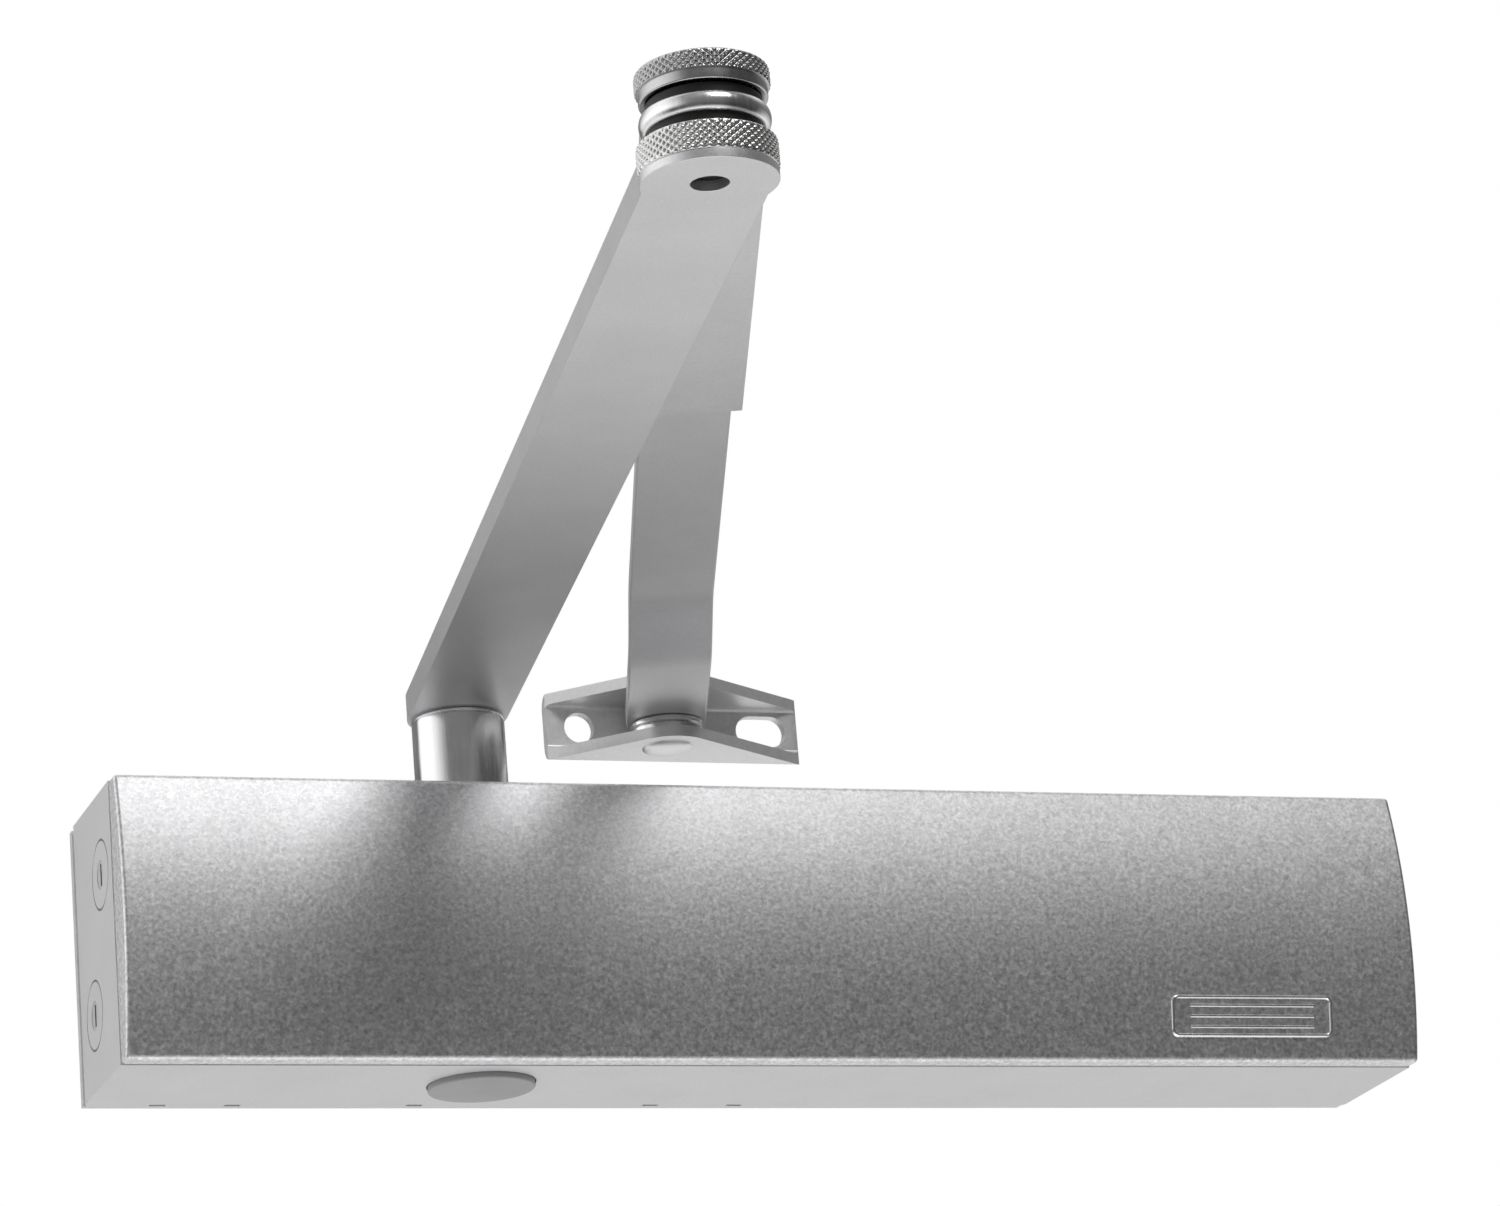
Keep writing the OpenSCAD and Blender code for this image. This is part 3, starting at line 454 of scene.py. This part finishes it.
def make_main_arm():
    low, high = node_box("main_arm")
    disc_low = node_box("elbow_disc")[0].z
    half, eye_r, seat_r, hole_r = 10.75 * MM, 11.7 * MM, 12.15 * MM, 3.3 * MM
    meet = math.degrees(math.asin(half / eye_r))
    seat_end = ARM_LENGTH + 2 * eye_r
    outline = arc((0, 0), half, 90, 270, 40)
    outline += arc((ARM_LENGTH, 0), eye_r, -180 + meet, 180 - meet, 64)
    bar = extruded(outline, low.z, high.z)
    seat = extruded(
        arc((ARM_LENGTH, 0), seat_r, 90, 270, 48) + [(seat_end, -seat_r), (seat_end, seat_r)],
        disc_low, high.z + MM,
    )
    arm = combined(bar, seat)
    arm = combined(arm, disc((ARM_LENGTH, 0), hole_r, low.z - MM, high.z, 48))
    soften(arm, 0.55 * MM, 3)
    put_at(arm, SPINDLE, ARM_TURN)
    make_object("main_arm_bar", arm, "arm_paint", "spindle", ["main_arm"])
    # painted shade: a black disc set inside the elbow pin's hole stands in for the hole's dark
    # inside
    shade_r, shade_low, shade_high = 3.24 * MM, disc_low + 0.4 * MM, disc_low + 7 * MM
    shade = disc(ELBOW, shade_r, shade_low, shade_high, 48)
    make_object("elbow_hole_shade", shade, "black_steel", "spindle", None)


def make_sleeve():
    """The sheet sleeve, cut back round its grooved eye at the elbow."""
    low, high = node_box("forearm_sleeve")
    half, end, wall = 10.5 * MM, 131 * MM, 1.3 * MM
    cavity_start, cavity_half = 28 * MM, 8.8 * MM
    neck_r, eye_r, groove_r, groove_h = 9.8 * MM, 11.1 * MM, 13.5 * MM, 1.6 * MM
    sleeve = extruded([(0, -half), (end, -half), (end, half), (0, half)], low.z, high.z)
    cavity = extruded(
        [(cavity_start, -cavity_half), (end + MM, -cavity_half), (end + MM, cavity_half),
         (cavity_start, cavity_half)],
        low.z + wall, high.z - wall,
    )
    sleeve = combined(sleeve, cavity)
    for z0, z1 in ((low.z - MM, low.z + groove_h), (high.z - groove_h, high.z + MM)):
        ring = combined(disc((0, 0), groove_r, z0, z1), disc((0, 0), neck_r, z0 - MM, z1 + MM))
        sleeve = combined(sleeve, ring)
    soften(sleeve, 0.45 * MM, 3)
    put_at(sleeve, ELBOW, FOREARM_TURN)
    make_object("sleeve_shell", sleeve, "arm_paint", "forearm", ["forearm_sleeve"])
    # painted shade: a black disc inside the eye, between the two grooves, stands in for the
    # grooves' shade
    inside = 0.02 * MM
    neck = disc(ELBOW, neck_r, low.z + inside, high.z - inside, 96)
    make_object("elbow_neck", neck, "black_steel", "forearm", ["forearm_sleeve"])
    mid, tall, deep = (low.z + high.z) / 2, (high.z - low.z) / 2 - groove_h, 1.1 * MM
    steps = 16
    profile = [(neck_r - MM, mid - tall)]
    for i in range(steps + 1):
        a = math.pi * (i / steps - 0.5)
        profile.append((eye_r - deep + deep * math.cos(a), mid + tall * math.sin(a)))
    profile.append((neck_r - MM, mid + tall))
    band = lathed([(0, mid - tall)] + profile + [(0, mid + tall)], ELBOW, 128)
    make_object("elbow_eye", band, "bright_steel", "forearm", ["forearm_sleeve"], 50)


def make_bar():
    low, high = node_box("forearm_bar")
    half, thick = 8.7 * MM, 4 * MM
    start = 52 * MM
    near = FOREARM_LENGTH - 40 * MM
    step = 34 * MM
    drop = high.z - low.z - thick
    past = FOREARM_LENGTH + 2 * half
    steps = 16
    rise = [(start, 0.0), (near - step, 0.0)]
    for i in range(1, steps):
        t = i / steps
        rise.append((near - step + step * t, drop * t * t * (3 - 2 * t)))
    rise += [(near, drop), (past, drop)]
    top = [(x, high.z - d) for x, d in rise]
    under = [(x, high.z - thick - d) for x, d in reversed(rise)]
    side = extruded(top + under, -half - MM, half + MM, "Y")
    plan = extruded(
        [(start, -half)] + arc((FOREARM_LENGTH, 0), half, -90, 90, 36) + [(start, half)],
        low.z - MM, high.z + MM,
    )
    bar = combined(side, plan, "INTERSECT")
    soften(bar, 0.45 * MM, 3, 40)
    put_at(bar, ELBOW, FOREARM_TURN)
    make_object("forearm_flat", bar, "bar_paint", "forearm_bar", ["forearm_bar"])


def make_bracket():
    low, high = node_box("bracket")
    sheet, bend_out, bend_in = 2.5 * MM, 3.2 * MM, 1.0 * MM
    tip_r, hole_r, slot_r = 9 * MM, 3.4 * MM, 3.5 * MM
    front, back = low.y - 2 * MM, high.y
    bottom, top = low.z, high.z
    section = [(front, bottom)]
    section += arc((back - bend_out, bottom + bend_out), bend_out, -90, 0, 8)
    section += arc((back - bend_out, top - bend_out), bend_out, 0, 90, 8)
    section += [(front, top), (front, top - sheet)]
    section += arc((back - sheet - bend_in, top - sheet - bend_in), bend_in, 90, 0, 5)
    section += arc((back - sheet - bend_in, bottom + sheet + bend_in), bend_in, 0, -90, 5)
    section += [(front, bottom + sheet)]
    channel = extruded(section, low.x, high.x, "X")
    shoulder = back - sheet - PIVOT.y
    corners = [(low.x - PIVOT.x, shoulder), (high.x - PIVOT.x, shoulder)]
    touch = []
    for corner, side in zip(corners, (1, -1)):
        reach = math.hypot(*corner)
        turn = math.atan2(corner[1], corner[0]) + side * math.acos(tip_r / reach)
        touch.append(math.degrees(turn))
    if touch[1] < touch[0]:
        touch[1] += 360
    tip = arc((PIVOT.x, PIVOT.y), tip_r, touch[0], touch[1], 32)
    outline = [(low.x, back + MM), (low.x, back - sheet)] + tip
    outline += [(high.x, back - sheet), (high.x, back + MM)]
    bracket = combined(channel, extruded(outline, bottom - MM, top + MM), "INTERSECT")
    mid = (bottom + top) / 2
    hole_x, slot_x, slot_reach = PIVOT.x - 16.5 * MM, PIVOT.x + 25.5 * MM, 2.25 * MM
    round_hole = arc((hole_x, mid), hole_r, 0, 352.5, 47)
    slot = arc((slot_x + slot_reach, mid), slot_r, -90, 90, 24)
    slot += arc((slot_x - slot_reach, mid), slot_r, 90, 270, 24)
    for hole in (round_hole, slot):
        bracket = combined(bracket, extruded(hole, back - 2 * sheet, back + MM, "Y"))
    soften(bracket, 0.3 * MM, 2, 40)
    make_object("bracket_sheet", bracket, "bracket_plate", "bracket", ["bracket"])


def make_rivet():
    low, high = node_box("bracket_rivet")
    shank, head, crown = 4 * MM, 5.6 * MM, 1.0 * MM
    turns = [math.pi / 2 * i / 8 for i in range(8)]
    dome = [(head * math.cos(a), crown * math.sin(a)) for a in turns]
    profile = [(0, low.z)] + [(r, low.z + crown - h) for r, h in reversed(dome)]
    profile += [(shank, low.z + crown), (shank, high.z - crown)]
    profile += [(r, high.z - crown + h) for r, h in dome] + [(0, high.z)]
    make_object("rivet", lathed(profile, PIVOT, 64), "zinc_steel", "bracket", ["bracket_rivet"])


def make_bush(node):
    """A turned spacer with a fine groove round its middle."""
    low, high = node_box(node)
    radius, edge, groove = 8 * MM, 0.3 * MM, 0.35 * MM
    mid = (low.z + high.z) / 2
    profile = [(0, low.z), (radius - edge, low.z), (radius, low.z + edge), (radius, mid - groove),
               (radius - groove, mid), (radius, mid + groove), (radius, high.z - edge),
               (radius - edge, high.z), (0, high.z)]
    make_object(node + "_turned", lathed(profile, PIVOT, 72), "bright_steel", "bracket", [node], 25)


def make_collar():
    """The bright sleeve on the spindle, with a beaded rim under the arm."""
    radius, stem_r, foot_gap, foot_edge = 9.9 * MM, 8.6 * MM, 0.3 * MM, 0.5 * MM
    rim_h, arm_gap, neck_in, neck_from, neck_to = 1.3 * MM, 0.02 * MM, 0.25 * MM, 0.2 * MM, 0.4 * MM
    bead_r, bead_up, top_in = 0.3 * MM, 0.7 * MM, 0.6 * MM
    bottom = node_box("hub_collar")[0].z
    base = node_box("housing")[1].z + foot_gap
    top = node_box("main_arm")[0].z - arm_gap
    rim = top - rim_h
    profile = [(0, bottom), (stem_r, bottom), (stem_r, base), (radius - foot_edge, base)]
    profile += arc((radius - foot_edge, base + foot_edge), foot_edge, -90, 0, 5)
    neck_r = radius - neck_in
    profile += [(radius, rim), (neck_r, rim + neck_from), (neck_r, rim + neck_to)]
    profile += arc((radius - bead_r, rim + bead_up), bead_r, -90, 90, 8)
    profile += [(radius - top_in, top), (0, top)]
    collar = lathed(profile, SPINDLE, 128)
    make_object("collar_sleeve", collar, "bright_steel", "spindle", ["hub_collar"], 30)


def make_cap():
    """The plastic cap under the spindle, slightly crowned."""
    low, high = node_box("bottom_cap")
    radius, stem_r, edge, crown, sunk = 11.3 * MM, 8.8 * MM, 0.45 * MM, 0.25 * MM, 1.8 * MM
    seat = node_box("housing")[0].z + sunk
    steps = 8
    profile = [(0, low.z)]
    for i in range(1, steps + 1):
        r = (radius - edge) * i / steps
        profile.append((r, low.z + crown * (i / steps) ** 2))
    profile += arc((radius - edge, low.z + crown + edge), edge, -90, 0, 6)[1:]
    profile += [(radius, seat), (stem_r, seat), (stem_r, high.z), (0, high.z)]
    cap = lathed(profile, SPINDLE)
    make_object("cap_disc", cap, "grey_plastic", "housing", ["bottom_cap"], 30)


def make_knurled(node, name, body, finish, band=0.0, recess=0.0):
    """A knurled wheel: diamonds round its rim over a plain band, rounded edges, a recess on top."""
    low, high = node_box(node)
    radius = (high.x - low.x) / 2
    columns, samples, pitch, depth, edge = 50, 10, 1.25 * MM, 0.34 * MM, 0.8 * MM
    around, rows, bore, corner_steps = columns * samples, 28, 4.6 * MM, 5
    flat_top, recess_share, recess_floor = 0.7, 0.6, 0.56
    band_in, band_edge = 0.55 * MM, 0.3 * MM
    step_in, step_h, step_top = 0.2 * MM, 0.2 * MM, 0.05 * MM
    bm = bmesh.new()

    def ring_at(r, z, cut=0.0):
        verts = []
        for i in range(around):
            turn = i / around
            u = (turn * columns + (z - low.z) / pitch) % 1.0
            v = (turn * columns - (z - low.z) / pitch) % 1.0
            peak = min(1 - 2 * max(abs(u - 0.5), abs(v - 0.5)), flat_top) / flat_top
            here = r - cut * (1 - max(peak, 0.0))
            a = 2 * math.pi * turn
            point = (ELBOW.x + here * math.cos(a), ELBOW.y + here * math.sin(a), z)
            verts.append(bm.verts.new(point))
        return verts

    rings = [ring_at(bore, low.z)]
    rim_low, rim_high = low.z + edge, high.z - edge
    if band:
        plain_r = radius - band_in
        for r, z in arc((plain_r - band_edge, low.z + band_edge), band_edge, -90, 0, corner_steps):
            rings.append(ring_at(r, z))
        rings.append(ring_at(plain_r, low.z + band))
        rim_low = low.z + band + step_h
        rings.append(ring_at(radius - step_in, low.z + band + step_top))
    else:
        for r, z in arc((radius - edge, rim_low), edge, -90, 0, corner_steps)[:-1]:
            rings.append(ring_at(r, z, depth * (z - low.z) / edge))
    for i in range(rows + 1):
        rings.append(ring_at(radius, rim_low + (rim_high - rim_low) * i / rows, depth))
    for r, z in arc((radius - edge, rim_high), edge, 0, 90, corner_steps)[1:]:
        rings.append(ring_at(r, z, depth * (high.z - z) / edge))
    if recess:
        rings.append(ring_at(radius * recess_share, high.z))
        rings.append(ring_at(radius * recess_floor, high.z - recess))
    rings.append(ring_at(bore, high.z - recess))
    join_rings(bm, rings, closed=True)
    make_object(name, bm, finish, body, [node], 60)


def make_valve_marks():
    """The painted shade in the regulating screws' slots, a black box in each, and the ring marks
    round them.
    """
    end_x = node_box("housing")[0].x
    half_w, half_h, slot_from, slot_to = 0.58 * MM, 2.33 * MM, 0.18 * MM, 1.7 * MM
    ring_out, ring_in, ring_from, ring_to = 7.48 * MM, 7.02 * MM, 0.12 * MM, 0.29 * MM
    for joint, body in (("closing_speed", "closing_valve"), ("latching_speed", "latching_valve")):
        axis = axis_of(joint)
        # painted shade: a black box sunk in each slot stands in for the slot's dark inside
        slot = extruded(
            [(axis.y - half_w, axis.z - half_h), (axis.y + half_w, axis.z - half_h),
             (axis.y + half_w, axis.z + half_h), (axis.y - half_w, axis.z + half_h)],
            end_x + slot_from, end_x + slot_to, "X",
        )
        make_object(body + "_slot", slot, "black_steel", body, None)
        outer, inner = (arc((axis.y, axis.z), r, 0, 355, 71) for r in (ring_out, ring_in))
        mark = combined(
            extruded(outer, end_x + ring_from, end_x + ring_to, "X"),
            extruded(inner, end_x - MM, end_x + MM, "X"),
        )
        make_object(body + "_ring_mark", mark, "mark_grey", "housing", None)


def make_badge():
    """A blank framed plate that follows the cover's bulge, with three plain lines across it."""
    low, high = node_box("name_plate")
    cover_low, cover_high = node_box("front_cover")
    half_h = (cover_high.z - cover_low.z) / 2
    bulge, sunk, corner_r, field_rise, field_rows = 4 * MM, 0.1 * MM, 1.2 * MM, 0.15 * MM, 8
    frame_w, frame_rise = 0.45 * MM, 0.58 * MM
    ribs, rib_w, rib_rise, rib_margin, rib_spans = 3, 0.4 * MM, 0.42 * MM, 4.5 * MM, 4
    radius = (half_h * half_h + bulge * bulge) / (2 * bulge)

    def on_cover(x, z, rise):
        """A point that stands above the cover's face by rise."""
        return x, cover_low.y + radius - math.sqrt((radius + rise) ** 2 - z * z), z

    def rounded(inset, corner):
        x0, x1, z0, z1 = low.x + inset, high.x - inset, low.z + inset, high.z - inset
        points = []
        for cx, cz, start in ((x1 - corner, z1 - corner, 0), (x0 + corner, z1 - corner, 90),
                              (x0 + corner, z0 + corner, 180), (x1 - corner, z0 + corner, 270)):
            points += arc((cx, cz), corner, start, start + 90, 8)
        return points

    def bead(bm, path, half_w, rise, loop):
        """A raised half-round line along a path on the cover."""
        rings = []
        count = len(path)
        for i, (x, z) in enumerate(path):
            ahead = path[(i + 1) % count] if loop else path[min(i + 1, count - 1)]
            behind = path[i - 1] if loop else path[max(i - 1, 0)]
            dx, dz = ahead[0] - behind[0], ahead[1] - behind[1]
            size = math.hypot(dx, dz)
            side = (-dz / size, dx / size)
            ring = [on_cover(x - side[0] * half_w, z - side[1] * half_w, -sunk)]
            for a in range(0, 181, 20):
                off = -half_w * math.cos(math.radians(a))
                up = rise * math.sin(math.radians(a))
                ring.append(on_cover(x + side[0] * off, z + side[1] * off, up))
            ring.append(on_cover(x + side[0] * half_w, z + side[1] * half_w, -sunk))
            rings.append([bm.verts.new(co) for co in ring])
        join_rings(bm, rings, closed=loop)
        if not loop:
            bm.faces.new(rings[0])
            bm.faces.new(rings[-1][::-1])

    lines = bmesh.new()
    bead(lines, rounded(frame_w, corner_r), frame_w, frame_rise, True)
    start, end = low.x + rib_margin, high.x - rib_margin
    for i in range(ribs):
        z = low.z + (high.z - low.z) * (i + 1) / (ribs + 1)
        path = [(start + (end - start) * t / rib_spans, z) for t in range(rib_spans + 1)]
        bead(lines, path, rib_w, rib_rise, False)
    make_object("badge_lines", lines, "badge_metal", "housing", ["name_plate"])

    outside, inside = 0.0, 1.0
    field = extruded(rounded(frame_w, corner_r), outside, inside, "Y")
    for i in range(1, field_rows):
        z = low.z + (high.z - low.z) * i / field_rows
        bmesh.ops.bisect_plane(
            field, geom=field.verts[:] + field.edges[:] + field.faces[:],
            plane_co=(0, 0, z), plane_no=(0, 0, 1),
        )
    for vert in field.verts:
        rise = field_rise if vert.co.y < (outside + inside) / 2 else -field_rise
        vert.co = on_cover(vert.co.x, vert.co.z, rise)
    make_object("badge_field", field, "silver_paint", "housing", ["name_plate"])


# the width in mm that rounds the edges of each node that keeps its CAD shape
REFINED = {
    "housing": 0.35, "mounting_plate": 0.3, "closing_valve": 0.1, "latching_valve": 0.1,
    "arm_screw": 0.25, "arm_washer": 0.15, "clamp_screw": 0.25, "elbow_pin": 0.25,
    "end_plug": 0.25, "bearing_cover_top": 0.15, "bearing_cover_bottom": 0.15,
}


def make_springs():
    """The springs, each with a mesh of its own; in the real closer they shorten against the spring
    plate as the piston comes towards it.
    """
    for node in ("main_spring", "inner_spring"):
        coil = refined(node, 0)
        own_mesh(coil)


def make_refined():
    for node, width in REFINED.items():
        refined(node, width * MM)


def dress_kept_nodes():
    """Gives every CAD node that stays its own material."""
    for node, obj in frame["nodes"].items():
        obj.data.materials.clear()
        obj.data.materials.append(MATERIALS[SLOT_OF[node]])


# ---------------------------------------------------------------- stage


def add_area(name, where, aim, size, power):
    light = bpy.data.lights.new(name, "AREA")
    light.shape = "RECTANGLE"
    light.size = light.size_y = size
    light.energy = power
    obj = bpy.data.objects.new(name, light)
    obj.location = where
    obj.rotation_euler = (Vector(aim) - Vector(where)).to_track_quat("-Z", "Y").to_euler()
    bpy.context.collection.objects.link(obj)


def make_stage():
    """A pale floor far below, so that views from under the object stay above it."""
    half_size, drop, spread = 16.0, 3.5, 0.005
    bm = bmesh.new()
    bmesh.ops.create_grid(bm, x_segments=2, y_segments=2, size=half_size)
    mesh = bpy.data.meshes.new("floor")
    bm.to_mesh(mesh)
    bm.free()
    floor = bpy.data.objects.new("floor", mesh)
    floor.location = (0, 0, -drop)
    bpy.context.collection.objects.link(floor)
    material, nodes, shader, where = new_material("pale_floor")
    tone = nodes.vary(nodes.noise(where, 6.0), 1.0 - spread, 1.0 + spread)
    nodes.put(shader.inputs["Base Color"], nodes.shade(grey(0.9), tone))
    shader.inputs["Roughness"].default_value = 0.8
    mesh.materials.append(material)
    floor.visible_diffuse = floor.visible_glossy = False


def make_dark_card():
    """A dark card behind the body, about where the door is, that only reflections show."""
    left, right, bottom, top, behind, thick = -0.25, 0.012, -0.03, 0.16, 0.15, 0.002
    outline = [(left, bottom), (right, bottom), (right, top), (left, top)]
    bm = extruded(outline, behind, behind + thick, "Y")
    mesh = bpy.data.meshes.new("dark_card")
    bm.to_mesh(mesh)
    bm.free()
    card = bpy.data.objects.new("dark_card", mesh)
    bpy.context.collection.objects.link(card)
    material, nodes, shader, where = new_material("dark_card")
    nodes.put(shader.inputs["Base Color"], nodes.shade(grey(0.7), nodes.noise(where, 9.0)))
    mesh.materials.append(material)
    card.visible_camera = card.visible_shadow = False


def tone_ramp(nodes, value, stops):
    """A grey that follows the value from -1 to 1 through the stops (value, grey)."""
    node = nodes.add("ShaderNodeValToRGB", {"Fac": nodes.remap(value, -1, 1, 0, 1)})
    ramp = node.color_ramp
    ramp.interpolation = "EASE"
    while len(ramp.elements) < len(stops):
        ramp.elements.new(0.5)
    for element, (place, tone) in zip(ramp.elements, stops):
        element.position = (place + 1) / 2
        element.color = (tone, tone, tone, 1.0)
    return node.outputs["Color"]


# greys of the surroundings by height, from -1 straight below to 1 straight above
FRONT_TONES = [(-1.0, 0.8), (-0.75, 0.3), (-0.45, 0.04), (0.3, 0.075), (0.8, 0.12)]
BACK_TONES = [
    (-1.0, 0.74), (-0.5, 0.64), (-0.2, 0.52), (0.12, 0.3),
    (0.28, 0.12), (0.45, 0.16), (0.7, 0.6), (1.0, 0.9),
]


def make_world():
    """Soft studio surroundings: white behind the object, greys for it to reflect."""
    brightest, lamp_tone, white = 1.6, (0.9, 0.9, 0.9, 1.0), (1.0, 1.0, 1.0, 1.0)
    lamp_side = (-0.94, 0.34, 0.0)
    world = bpy.data.worlds.new("studio")
    bpy.context.scene.world = world
    world.use_nodes = True
    nodes = Nodes(world.node_tree)
    output = nodes.add("ShaderNodeOutputWorld")
    direction = nodes.add("ShaderNodeTexCoord").outputs["Generated"]
    split = nodes.add("ShaderNodeSeparateXYZ", {"Vector": direction})
    side, depth, rise = (split.outputs[k] for k in "XYZ")
    front = tone_ramp(nodes, rise, FRONT_TONES)
    front = nodes.shade(front, nodes.remap(side, 0.18, 0.5, 1.6, 0.7))
    back = tone_ramp(nodes, rise, BACK_TONES)
    light = nodes.mix_colour(nodes.remap(depth, -0.15, 0.35, 0.0, 1.0), front, back)
    # a soft lamp on the left, a little behind
    towards = nodes.add(
        "ShaderNodeVectorMath", {0: direction, 1: lamp_side}, operation="DOT_PRODUCT"
    ).outputs["Value"]
    lamp = nodes.math(
        "MULTIPLY",
        nodes.remap(towards, 0.45, 0.95, 0.0, 1.0),
        nodes.remap(rise, -0.2, 0.1, 0.0, 1.0),
    )
    light = nodes.shade(nodes.mix_colour(lamp, light, lamp_tone), brightest)
    seen = nodes.add("ShaderNodeLightPath").outputs["Is Camera Ray"]
    colour = nodes.mix_colour(seen, light, white)
    background = nodes.add("ShaderNodeBackground", {"Color": colour, "Strength": 1.0})
    nodes.put(output.inputs["Surface"], background.outputs[0])
    bpy.context.scene.view_settings.view_transform = "Standard"
    bpy.context.scene.view_settings.look = "None"


def make_camera():
    """Looks up at the body's left front from below."""
    azimuth, elevation, roll = math.radians(-20.1), math.radians(-17.9), math.radians(-4.7)
    aim, distance = Vector((-0.0129, -0.072, 0.061)), 1.1915
    focal_mm, sensor_mm, nearest, farthest = 136.8, 36.0, 0.05, 50.0
    back = Vector((
        math.sin(azimuth) * math.cos(elevation),
        -math.cos(azimuth) * math.cos(elevation),
        math.sin(elevation),
    ))
    right = Vector((math.cos(azimuth), math.sin(azimuth), 0))
    up = back.cross(right)
    turned_right = math.cos(roll) * right + math.sin(roll) * up
    turned_up = math.cos(roll) * up - math.sin(roll) * right
    camera = bpy.data.cameras.new("camera")
    camera.lens, camera.sensor_width = focal_mm, sensor_mm
    camera.clip_start, camera.clip_end = nearest, farthest
    obj = bpy.data.objects.new("camera", camera)
    basis = Matrix((turned_right, turned_up, back)).transposed().to_4x4()
    obj.matrix_world = Matrix.Translation(aim + back * distance) @ basis
    bpy.context.collection.objects.link(obj)
    bpy.context.scene.camera = obj


make_camera()
make_cover()
make_badge()
make_main_arm()
make_sleeve()
make_bar()
make_bracket()
make_rivet()
make_bush("lower_bush")
make_bush("upper_bush")
make_collar()
make_cap()
make_knurled("elbow_disc", "knurled_disc", "spindle", "knurled_steel")
make_knurled(
    "hold_open_knob", "knurled_knob", "knob", "knob_steel", band=2 * MM, recess=0.3 * MM
)
make_valve_marks()
make_refined()
make_springs()
dress_kept_nodes()
make_stage()
make_dark_card()
make_world()
add_area("key", (0.22, -1.5, 1.5), (0, 0, 0), 0.85, 12.0)
